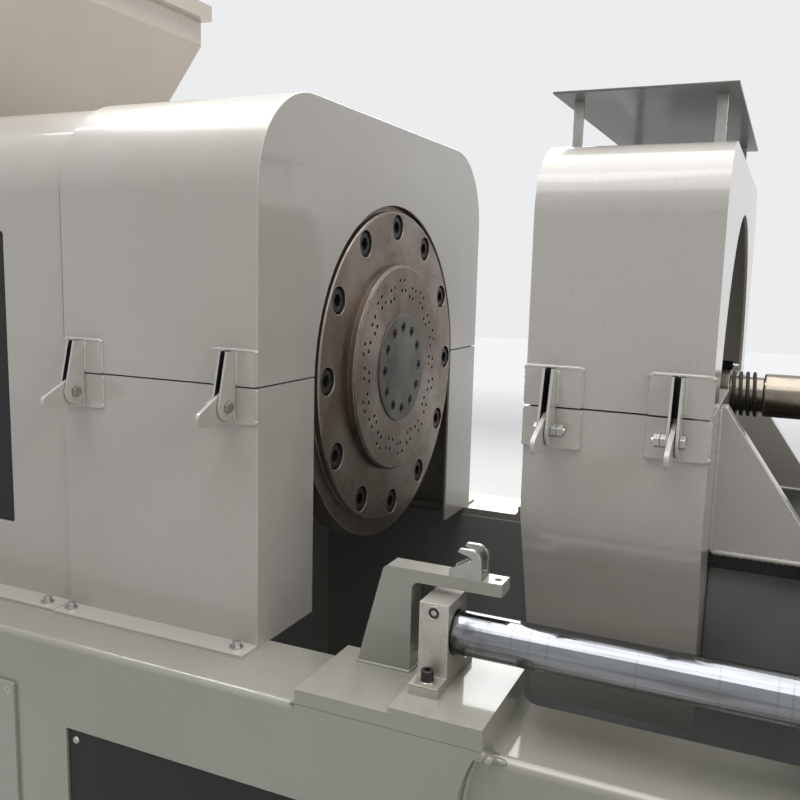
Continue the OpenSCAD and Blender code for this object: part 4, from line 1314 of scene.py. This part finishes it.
@dataclass
class Die:
    """Die rings, strand plate, centre cap and their screws."""

    front: float = 2.0
    cap_front: float = 16.0
    screws: int = 12
    bolt_r: float = 228.0
    cap_bolt_r: float = 67.0
    adapter_bolt_r: float = 226.0
    adapter_x: float = -220.0

    def around(self, radius: float, x: float, index: int) -> tuple[float, float, float]:
        """Returns the place of one screw of a circle."""
        return on_circle(x, radius, -index * math.tau / self.screws)

    def build(self, dresser: Dresser) -> None:
        """Rounds the die's rings and paints them as stained steel.

        Args:
            dresser: copies and paints the nodes.
        """
        dresser.dress("die_adapter", Body.MACHINE, Slot.DARK_STEEL, Edging(1.5))
        dresser.dress("die_rings", Body.MACHINE, Slot.DIE_STEEL, Edging(1.0, 2, degrees=40.0))
        dresser.dress("strand_plate", Body.MACHINE, Slot.DIE_STEEL, Edging(0.5, 2, degrees=40.0))
        # the centre cap takes the darker copy of the die steel
        dresser.dress(
            "centre_cap", Body.MACHINE, Slot.DIE_STEEL, Edging(0.5, 2, degrees=40.0), shade=Shade.CAP_STEEL
        )
        main, small = Shape("die_screws"), Shape("cap_screws")
        for i in range(self.screws):
            main.socket_screw(self.around(self.bolt_r, self.front - 24, i), (1, 0, 0), 17.6, 20.0)
            small.socket_screw(self.around(self.cap_bolt_r, self.cap_front - 7, i), (1, 0, 0), 7.4, 5.6)
        main.finish(Body.MACHINE, Slot.DARK_STEEL, dresser.palette)
        small.finish(Body.MACHINE, Slot.DARK_STEEL, dresser.palette)
        flange = Shape("adapter_screws")
        for i in range(self.screws):
            flange.socket_screw(self.around(self.adapter_bolt_r, self.adapter_x, i), (1, 0, 0), 14.0, 18.0)
        flange.finish(Body.MACHINE, Slot.DARK_STEEL, dresser.palette)


@dataclass
class RodGear:
    """Guide rods, their supports and pads, brackets and keepers."""

    rod_y: float = 408.0
    block_x: tuple[float, float] = (240.0, 1180.0)
    block_l: float = 35.0
    block_half: float = 30.0
    foot_top: float = 36.5
    foot_screw: float = 43.8
    clamp_screw_z: float = 111.0

    def build(self, dresser: Dresser) -> None:
        """Rounds and paints the rod gear.

        Args:
            dresser: copies and paints the nodes.
        """

        def above_foot(a: Vector, b: Vector) -> bool:
            """Whether an edge isn't one of a pad's lower edges."""
            return max(a.z, b.z) > 1.0 or (max(a.z, b.z) > -15.0 and min(a.x, b.x) > 400.0)

        dresser.dress("rod_pads", Body.MACHINE, Slot.BED_PAINT, Edging(2.6, 3, above_foot))
        for side in ("near", "far"):
            dresser.dress("rod_supports_" + side, Body.MACHINE, Slot.ALUMINIUM, Edging(0.9))
            dresser.dress("guide_rod_" + side, Body.MACHINE, Slot.ROD_CHROME, Edging(1.0))
            dresser.dress("gooseneck_" + side, Body.MACHINE, Slot.BED_PAINT, Edging(2.0, 3))
            dresser.dress("keeper_" + side, Body.MACHINE, Slot.ZINC, Edging(1.1, 2))

    def fasten(self, palette: Palette) -> None:
        """Adds the supports' screws and washers and the brackets' weld beads.

        Args:
            palette: materials of the machine.
        """
        screws, washers = Shape("rod_support_screws"), Shape("rod_support_washers")
        for x in self.block_x:
            middle = x + self.block_l / 2
            face = -self.rod_y - self.block_half
            for y in (-self.rod_y - self.foot_screw, -self.rod_y + self.foot_screw):
                screws.socket_screw((middle, y, self.foot_top + 2.2), (0, 0, 1), 7.4, 11.5)
                washers.ring((middle, y, self.foot_top), (0, 0, 1), 5.0, 9.8, 2.2, 0.5)
            screws.socket_screw((middle, face + 5.0, self.clamp_screw_z), (0, -1, 0), 6.6, 5.4)
            washers.ring((middle, face, self.clamp_screw_z), (0, -1, 0), 6.4, 8.6, 0.9, 0.3)
        screws.both_sides().finish(Body.MACHINE, Slot.DARK_STEEL, palette)
        washers.both_sides().finish(Body.MACHINE, Slot.ZINC, palette)
        welds = Shape("bracket_welds")
        low = 18.6
        rim = [
            (147, -406.5, low), (216, -406.5, low), (216.5, -376, low), (147, -375.5, low), (146.5, -406, low)
        ]
        welds.bead(rim, 2.3, 7)
        welds.both_sides().finish(Body.MACHINE, Slot.BED_PAINT, palette, 60.0, False)


@dataclass
class Hood:
    """Sliding hood over the knives, with its top sheet."""

    half: float = 340.0
    post_y: float = 217.0
    post_x: tuple[float, float] = (338.0, 500.0)
    sheet_top: float = 699.0

    def build(self, dresser: Dresser) -> None:
        """Rounds and paints the hood.

        Args:
            dresser: copies and paints the nodes.
        """

        def on_hinge(a: Vector, b: Vector) -> bool:
            """Whether an edge is on a hinge, off the hood's wall."""
            return max(a.y, b.y) < -self.half - 4.6

        hinge = Edging(1.15, 3, on_hinge)
        # the faces inside the hinge slots take the painted shadow
        slots = hinge_slots(self.half, HOOD_HINGES)
        dresser.dress("hood_cover", Body.HOOD, Slot.MACHINE_PAINT, hinge, Edging(1.6, 3), inlay=slots)
        dresser.dress("hood_lower", Body.CARRIAGE, Slot.MACHINE_PAINT, hinge, Edging(1.6, 3))
        dresser.dress("hood_back_plate", Body.CARRIAGE, Slot.MACHINE_PAINT, Edging(1.5))
        dresser.dress("top_sheet", Body.HOOD, Slot.SHEET_GREY, Edging(0.7))
        dresser.dress("sheet_posts", Body.HOOD, Slot.ZINC, Edging(0.4))
        bolts = Shape("top_sheet_bolts")
        for x in self.post_x:
            bolts.hex_bolt((x, -self.post_y + 2, self.sheet_top), (0, 0, 1), 7.0, 6.0)
        bolts.both_sides().finish(Body.HOOD, Slot.DARK_STEEL, dresser.palette)
        # painted shadow: near-black strips behind the hood's parting gap
        parting_shadow_strips("hood_parting_shadow_strips", self.half - SHEET, (329.0, 507.0)).finish(
            Body.CARRIAGE, Slot.DARK_PAINT, dresser.palette, shade=Shade.RUBBER_AND_GAP_SHADOW
        )


@dataclass
class Carriage:
    """Carriage plate, gussets, bearings, housing and cutter motor."""

    plate_top: float = 160.0
    rod_y: float = 408.0
    rod_z: float = 82.0
    bearings_x: tuple[float, float] = (660.0, 880.0)
    bearing_l: float = 100.0
    bearing_bolt: tuple[float, float] = (18.0, 29.0)
    housing_x: tuple[float, float] = (662.0, 852.0)
    gusset_x: tuple[float, float] = (525.0, 650.0)
    gusset_y: tuple[float, float] = (185.0, 215.0)
    gusset_top: float = 338.0
    weld: float = 3.4
    foot_top: float = 182.0
    foot_bolt_y: float = 98.0
    motor_face: float = 952.0
    motor_bolt_r: float = 93.0
    cover_bolt_r: float = 48.0

    def build(self, dresser: Dresser) -> None:
        """Rounds and paints the carriage.

        Args:
            dresser: copies and paints the nodes.
        """
        dresser.dress("carriage_gussets", Body.CARRIAGE, Slot.MACHINE_PAINT, Edging(1.5, 2))
        dresser.dress("carriage_plate", Body.CARRIAGE, Slot.DARK_PAINT, Edging(1.5, 2))
        # the carriage box takes the painted-shade grey
        dresser.dress("carriage_box", Body.CARRIAGE, Slot.DARK_PAINT, Edging(3.0, 3), shade=Shade.SHADED_INTERIOR_GREY)
        dresser.dress("linear_bearings", Body.CARRIAGE, Slot.ALUMINIUM, Edging(1.5))
        dresser.dress("bearing_housing", Body.CARRIAGE, Slot.MACHINE_PAINT, Edging(2.0, 3))
        dresser.dress("cutter_motor", Body.CARRIAGE, Slot.DRIVE_PAINT, Edging(1.0))

    def fasten(self, palette: Palette) -> None:
        """Adds the carriage's screws, seals, cover rings and weld beads.

        Args:
            palette: materials of the machine.
        """
        screws, seals = Shape("carriage_screws"), Shape("bearing_seals")
        for x in self.bearings_x:
            for dx in (self.bearing_bolt[0], self.bearing_l - self.bearing_bolt[0]):
                for dy in (-self.bearing_bolt[1], self.bearing_bolt[1]):
                    screws.socket_screw((x + dx, -self.rod_y + dy, self.plate_top), (0, 0, 1), 6.6, 8.0, 9.0)
            seals.ring((x, -self.rod_y, self.rod_z), (-1, 0, 0), 25.4, 36.0, 1.6, 0.5)
            seals.ring((x + self.bearing_l, -self.rod_y, self.rod_z), (1, 0, 0), 25.4, 36.0, 1.6, 0.5)
        for x in (self.housing_x[0] + 30, self.housing_x[1] - 30):
            screws.hex_bolt((x, -self.foot_bolt_y, self.foot_top), (0, 0, 1), 19.0, 16.0)
        screws.both_sides()
        for turn in (math.pi / 4 + i * math.pi / 2 for i in range(4)):
            screws.hex_bolt(on_circle(self.motor_face, self.motor_bolt_r, turn), (1, 0, 0), 10.0)
        screws.finish(Body.CARRIAGE, Slot.DARK_STEEL, palette)
        seals.both_sides().finish(Body.CARRIAGE, Slot.DARK_PAINT, palette, shade=Shade.RUBBER_AND_GAP_SHADOW)
        rings = Shape("housing_cover_rings")
        for x, way in ((self.housing_x[0], -1), (self.housing_x[1], 1)):
            rings.ring((x, 0, AXIS_Z), (way, 0, 0), 31.0, 60.0, 5.0, 1.0)
            for i in range(6):
                turn = (i + 0.5) * math.tau / 6
                rings.hex_bolt(on_circle(x + way * 5.0, self.cover_bolt_r, turn), (way, 0, 0), 7.0)
        rings.finish(Body.CARRIAGE, Slot.ALUMINIUM, palette)
        welds = Shape("gusset_welds")
        for y in self.gusset_y:
            back, front = self.gusset_x
            low = self.plate_top + 0.6
            welds.bead([(back + 3, -y, low), (front, -y, low)], self.weld, 21)
            head = self.gusset_top - 2
            welds.bead([(back + 0.6, -y, self.plate_top + 3), (back + 0.6, -y, head)], self.weld, 23)
        welds.both_sides().finish(Body.CARRIAGE, Slot.MACHINE_PAINT, palette, 60.0, False)


@dataclass
class Rotor:
    """Knife shaft, spring, knife head and knives."""

    spring_x: float = 525.0
    spring_l: float = 36.0
    turns: int = 4
    wire: float = 2.4
    coil: float = 29.0
    knives: int = 6
    knife_x: float = 327.0
    clamp_reach: tuple[float, float] = (106.0, 114.0)
    coupling_r: float = 48.5
    coupling_x: tuple[float, float] = (862.0, 922.0)

    def build(self, dresser: Dresser) -> None:
        """Rounds the rotor and winds the spring.

        Args:
            dresser: copies and paints the nodes.
        """
        dresser.dress("knife_shaft", Body.ROTOR, Slot.BRIGHT_STEEL, Edging(1.0, 2))
        dresser.dress("knife_head", Body.ROTOR, Slot.BRIGHT_STEEL, Edging(1.0, 2))
        dresser.dress("knives", Body.ROTOR, Slot.KNIFE_STEEL, Edging(0.4))
        spring = Shape("shaft_spring_finished")
        piece = bmesh.new()
        ring = bmesh.ops.create_circle(piece, cap_ends=False, segments=12, radius=self.wire)["verts"]
        bmesh.ops.rotate(piece, cent=(0, 0, 0), matrix=Matrix.Rotation(math.pi / 2, 3, "X"), verts=ring)
        bmesh.ops.translate(piece, vec=(self.coil, 0, 0), verts=ring)
        steps = self.turns * 48
        bmesh.ops.spin(
            piece, geom=piece.verts[:] + piece.edges[:], cent=(0, 0, 0), axis=(0, 0, 1),
            dvec=(0, 0, self.spring_l / steps), angle=self.turns * math.tau, steps=steps, use_merge=False,
        )
        bmesh.ops.holes_fill(piece, edges=piece.edges, sides=12)
        bmesh.ops.recalc_face_normals(piece, faces=piece.faces)
        spring.add(piece, turned_to((1, 0, 0), (self.spring_x, 0, AXIS_Z)))
        wound = spring.finish(Body.ROTOR, Slot.DARK_STEEL, dresser.palette)
        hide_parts("shaft_spring")
        dresser.done.append("shaft_spring")

    def fasten(self, palette: Palette) -> None:
        """Adds the knives' clamp screws and the coupling's rubber ring and set screws.

        Args:
            palette: materials of the machine.
        """
        screws = Shape("rotor_screws")
        for i in range(self.knives):
            turn = i * math.tau / self.knives
            for reach in self.clamp_reach:
                screws.socket_screw(on_circle(self.knife_x + 1.4, reach, -turn), (-1, 0, 0), 3.4, 2.4)
        middle = sum(self.coupling_x) / 2
        for x in (middle - 16.0, middle + 16.0):
            for turn in (0.0, math.pi):
                out = Vector((0, math.sin(turn), math.cos(turn)))
                screws.socket_screw(Vector((x, 0, AXIS_Z)) + out * self.coupling_r, out, 5.0, 4.2)
        screws.finish(Body.ROTOR, Slot.DARK_STEEL, palette)
        rubber = Shape("coupling_ring")
        rubber.ring((middle - 4.0, 0, AXIS_Z), (1, 0, 0), 50.0, 53.2, 8.0, 1.0)
        rubber.finish(Body.ROTOR, Slot.DARK_STEEL, palette, shade=Shade.RUBBER_AND_GAP_SHADOW)


@dataclass
class FeedAndDrive:
    """Hopper, gearbox and drive motor."""

    hopper_x: float = -856.0
    hopper_foot: tuple[float, float] = (120.0, 230.0)
    hopper_mouth: tuple[float, float] = (220.0, 330.0)
    flange_top: float = 721.0
    slope_top: float = 969.0
    gearbox_x: tuple[float, float] = (-1400.0, -1030.0)
    flange_z: tuple[float, float] = (313.0, 347.0)
    flange_bolt_y: float = 284.0
    base_bolt: tuple[float, float] = (301.0, 28.0)
    bolt_pitch: float = 71.0
    motor_end: float = -1928.0
    motor_front: float = -1440.0
    shield_bolt_r: float = 198.0
    fan_rings: tuple[float, ...] = (40.0, 75.0, 110.0, 145.0, 180.0)
    fan_ribs: int = 8
    fan_wire: float = 2.2
    hopper_bolts_y: tuple[float, ...] = (-190.0, -95.0, -1.0)
    terminal_x: tuple[float, float] = (-1756.5, -1546.5)
    terminal_z: tuple[float, float] = (641.0, 654.0)
    terminal_half: float = 98.0

    def build(self, dresser: Dresser) -> None:
        """Rounds and paints the feed and drive.

        Args:
            dresser: copies and paints the nodes.
        """
        dresser.dress("hopper", Body.MACHINE, Slot.HOPPER_PAINT, Edging(1.5, 2, degrees=20.0))
        dresser.dress("gearbox", Body.MACHINE, Slot.DRIVE_PAINT, Edging(4.0, 3))
        dresser.dress("drive_motor", Body.MACHINE, Slot.DRIVE_PAINT, Edging(1.0))
        dresser.dress("motor_pedestal", Body.MACHINE, Slot.BED_PAINT, Edging(3.0))

    def fasten(self, palette: Palette) -> None:
        """Adds the flange bolts, weld seams, lid and fan guard.

        Args:
            palette: materials of the machine.
        """
        bolts, seams = Shape("hopper_bolts"), Shape("hopper_seams")
        reach_x, reach_y = self.hopper_foot[0] + 12.5, self.hopper_foot[1] + 12.5
        for side in (-1, 1):
            for y in self.hopper_bolts_y:
                bolts.hex_bolt((self.hopper_x + side * reach_x, y, self.flange_top), (0, 0, 1), 10.0, 9.0)
            bolts.hex_bolt((self.hopper_x + side * 60.0, -reach_y, self.flange_top), (0, 0, 1), 10.0, 9.0)
            low = (self.hopper_x + side * self.hopper_foot[0], -self.hopper_foot[1], self.flange_top)
            top = (self.hopper_x + side * self.hopper_mouth[0], -self.hopper_mouth[1], self.slope_top)
            seams.bead([low, top], 2.2, 31)
        bolts.both_sides().finish(Body.MACHINE, Slot.ZINC, palette)
        seams.both_sides().finish(Body.MACHINE, Slot.HOPPER_PAINT, palette, 60.0, False)
        drive = Shape("gearbox_bolts")
        for i in range(6):
            x = self.gearbox_x[0] + 8 + i * self.bolt_pitch
            drive.hex_bolt((x, -self.flange_bolt_y, self.flange_z[1]), (0, 0, 1), 15.0)
            drive.hex_bolt((x, -self.flange_bolt_y, self.flange_z[0]), (0, 0, -1), 15.0, stud=3.0)
        for x in (self.gearbox_x[0] + 20, sum(self.gearbox_x) / 2, self.gearbox_x[1] - 20):
            drive.hex_bolt((x, -self.base_bolt[0], self.base_bolt[1]), (0, 0, 1), 15.0)
        drive.both_sides().finish(Body.MACHINE, Slot.DARK_STEEL, palette)
        x0, x1 = self.terminal_x
        z0, z1 = self.terminal_z
        lid = Shape("terminal_lid")
        lid.block((x0 - 3, -self.terminal_half, z0), (x1 + 3, self.terminal_half, z1), 2.5, 3)
        lid.finish(Body.MACHINE, Slot.DRIVE_PAINT, palette)
        small = Shape("motor_screws")
        for x in (x0 + 10, x1 - 10):
            small.socket_screw((x, -self.terminal_half + 12, z1 - 1), (0, 0, 1), 5.0, 4.5)
        small.both_sides()
        for turn in (math.pi / 4 + i * math.pi / 2 for i in range(4)):
            small.hex_bolt(on_circle(self.motor_front, self.shield_bolt_r, turn), (1, 0, 0), 17.0)
        small.finish(Body.MACHINE, Slot.ZINC, palette)
        guard = Shape("fan_guard")
        foot = Vector((self.motor_end - 3.0, 0, AXIS_Z))
        turns = [i * math.tau / 8 for i in range(9)]
        for radius in self.fan_rings:
            hoop = [(radius + self.fan_wire * math.cos(t), self.fan_wire * math.sin(t)) for t in turns]
            guard.lathe(hoop, foot, (-1, 0, 0), 56)
        for i in range(self.fan_ribs):
            turn = i * math.tau / self.fan_ribs
            out = Vector((0, math.sin(turn), math.cos(turn)))
            guard.tube(foot + out * self.fan_rings[0], foot + out * self.fan_rings[-1], 2.0, sides=10)
        guard.finish(Body.MACHINE, Slot.DARK_STEEL, palette)


# Studio


@dataclass(frozen=True)
class Lamp:
    """One soft lamp of the studio."""

    name: str
    spot: tuple[float, float, float]
    aim: tuple[float, float, float]
    size: float
    watts: float

    def make(self) -> bpy.types.Object:
        """Places the lamp.

        Returns:
            The new object.
        """
        data = bpy.data.lights.new(self.name, "AREA")
        data.shape = "SQUARE"
        data.size = self.size
        data.energy = self.watts
        lamp = bpy.data.objects.new(self.name, data)
        lamp.location = self.spot
        lamp.rotation_mode = "QUATERNION"
        lamp.rotation_quaternion = (Vector(self.aim) - Vector(self.spot)).to_track_quat("-Z", "Y")
        bpy.context.scene.collection.objects.link(lamp)
        return lamp


@dataclass
class Studio:
    """Camera, lamps, floor and surroundings."""

    lens: float = 38.63
    camera_spot: tuple[float, float, float] = (0.9156, -1.2883, 1.1559)
    world_light: float = 0.25
    seen_light: float = 0.9
    floor_fade: tuple[float, float] = (2.6, 7.5)
    lamps: tuple[Lamp, ...] = (
        Lamp("key", (0.4, -2.4, 4.4), (0.3, -0.2, 0.9), 2.2, 42.0),
        Lamp("top", (-0.2, 0.3, 4.4), (0.1, 0.0, 0.7), 4.2, 190.0),
        Lamp("skylight", (-1.9, 0.1, 3.8), (0.0, -0.2, 1.2), 0.9, 45.0),
        Lamp("side", (3.8, -1.4, 2.8), (0.6, 0.0, 0.9), 2.0, 45.0),
        Lamp("rear", (-1.0, 4.0, 2.6), (0.0, 0.0, 0.9), 2.4, 70.0),
    )

    def place_camera(self) -> None:
        """Sets the camera where the photograph was taken from."""
        data = bpy.data.cameras.new("camera")
        data.sensor_fit = "HORIZONTAL"
        data.sensor_width = 36.0
        data.lens = self.lens
        data.clip_start = 0.02
        camera = bpy.data.objects.new("camera", data)
        right = Vector((0.9107, 0.4124, 0.0254))
        up = Vector((-0.0835, 0.1235, 0.9889))
        back = Vector((0.4047, -0.9026, 0.1468))
        turn = Matrix((right, up, back)).transposed().to_4x4()
        camera.matrix_world = Matrix.Translation(self.camera_spot) @ turn
        bpy.context.scene.collection.objects.link(camera)
        bpy.context.scene.camera = camera

    def light(self) -> None:
        """Sets the lamps and the world."""
        for lamp in self.lamps:
            lamp.make()
        world = bpy.data.worlds.new("studio")
        bpy.context.scene.world = world
        world.use_nodes = True
        graph = Graph(world.node_tree)
        background = world.node_tree.nodes["Background"]
        strength = graph.span(seen_mask(graph), 0.0, 1.0, self.world_light, self.seen_light)
        graph.feed(background.inputs["Color"], STUDIO_WHITE)
        graph.feed(background.inputs["Strength"], strength)

    def floor(self) -> None:
        """Lays a plain pale floor that fades into the background."""
        mesh = bmesh.new()
        bmesh.ops.create_grid(mesh, x_segments=1, y_segments=1, size=14.0)
        data = bpy.data.meshes.new("floor")
        mesh.to_mesh(data)
        mesh.free()
        material, graph, shader, place = start_material("pale_floor")
        tone = graph.span(graph.noise(place, 1.4, 4.0), 0.3, 0.7, 0.0, 1.0)
        split = graph.add("SeparateXYZ", Vector=place)
        squares = graph.math("ADD", *(graph.math("POWER", split.outputs[i], 2.0) for i in (0, 1)))
        fade = graph.span(graph.math("SQRT", squares), *self.floor_fade, 0.0, 1.0)
        far = graph.math("MULTIPLY", seen_mask(graph), fade)
        near_colour = graph.mix(tone, (0.62, 0.62, 0.61, 1), (0.66, 0.66, 0.65, 1))
        graph.feed(shader.inputs["Base Color"], graph.mix(far, near_colour, (0.0, 0.0, 0.0, 1)))
        shader.inputs["Roughness"].default_value = 0.6
        shader.inputs["Specular IOR Level"].default_value = 0.1
        shader.inputs["Emission Color"].default_value = STUDIO_WHITE
        graph.feed(shader.inputs["Emission Strength"], graph.math("MULTIPLY", far, self.seen_light))
        data.materials.append(material)
        ground = bpy.data.objects.new("floor", data)
        bpy.context.scene.collection.objects.link(ground)

    def build(self) -> None:
        """Builds the whole studio."""
        self.place_camera()
        self.light()
        self.floor()
        bpy.context.scene.view_settings.view_transform = "Standard"


def main() -> None:
    """Builds every sub-assembly in order."""
    logging.basicConfig(level=logging.INFO, format="%(name)s %(message)s")
    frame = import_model()
    palette = Palette()
    dresser = Dresser(frame, palette)
    Studio().build()
    bed, covers, rods = Bed(), Covers(), RodGear()
    bed.build(dresser)
    bed.join(palette)
    bed.fasten(palette)
    covers.build(dresser)
    covers.fasten(palette)
    hood = Hood()
    CoverHinge("guard", covers.half, GUARD_HINGES, Body.MACHINE, Body.GUARD).build(dresser, "guard_hinge_pins")
    CoverHinge("hood", hood.half, HOOD_HINGES, Body.CARRIAGE, Body.HOOD).build(dresser, "hood_hinge_pins")
    Die().build(dresser)
    rods.build(dresser)
    rods.fasten(palette)
    hood.build(dresser)
    for part in (Carriage(), Rotor(), FeedAndDrive()):
        part.build(dresser)
        part.fasten(palette)
    left = sorted(set(frame["nodes"]) - set(dresser.done))
    LOG.info("nodes without a finish: %s", left)
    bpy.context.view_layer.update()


if __name__ == "__main__":
    main()
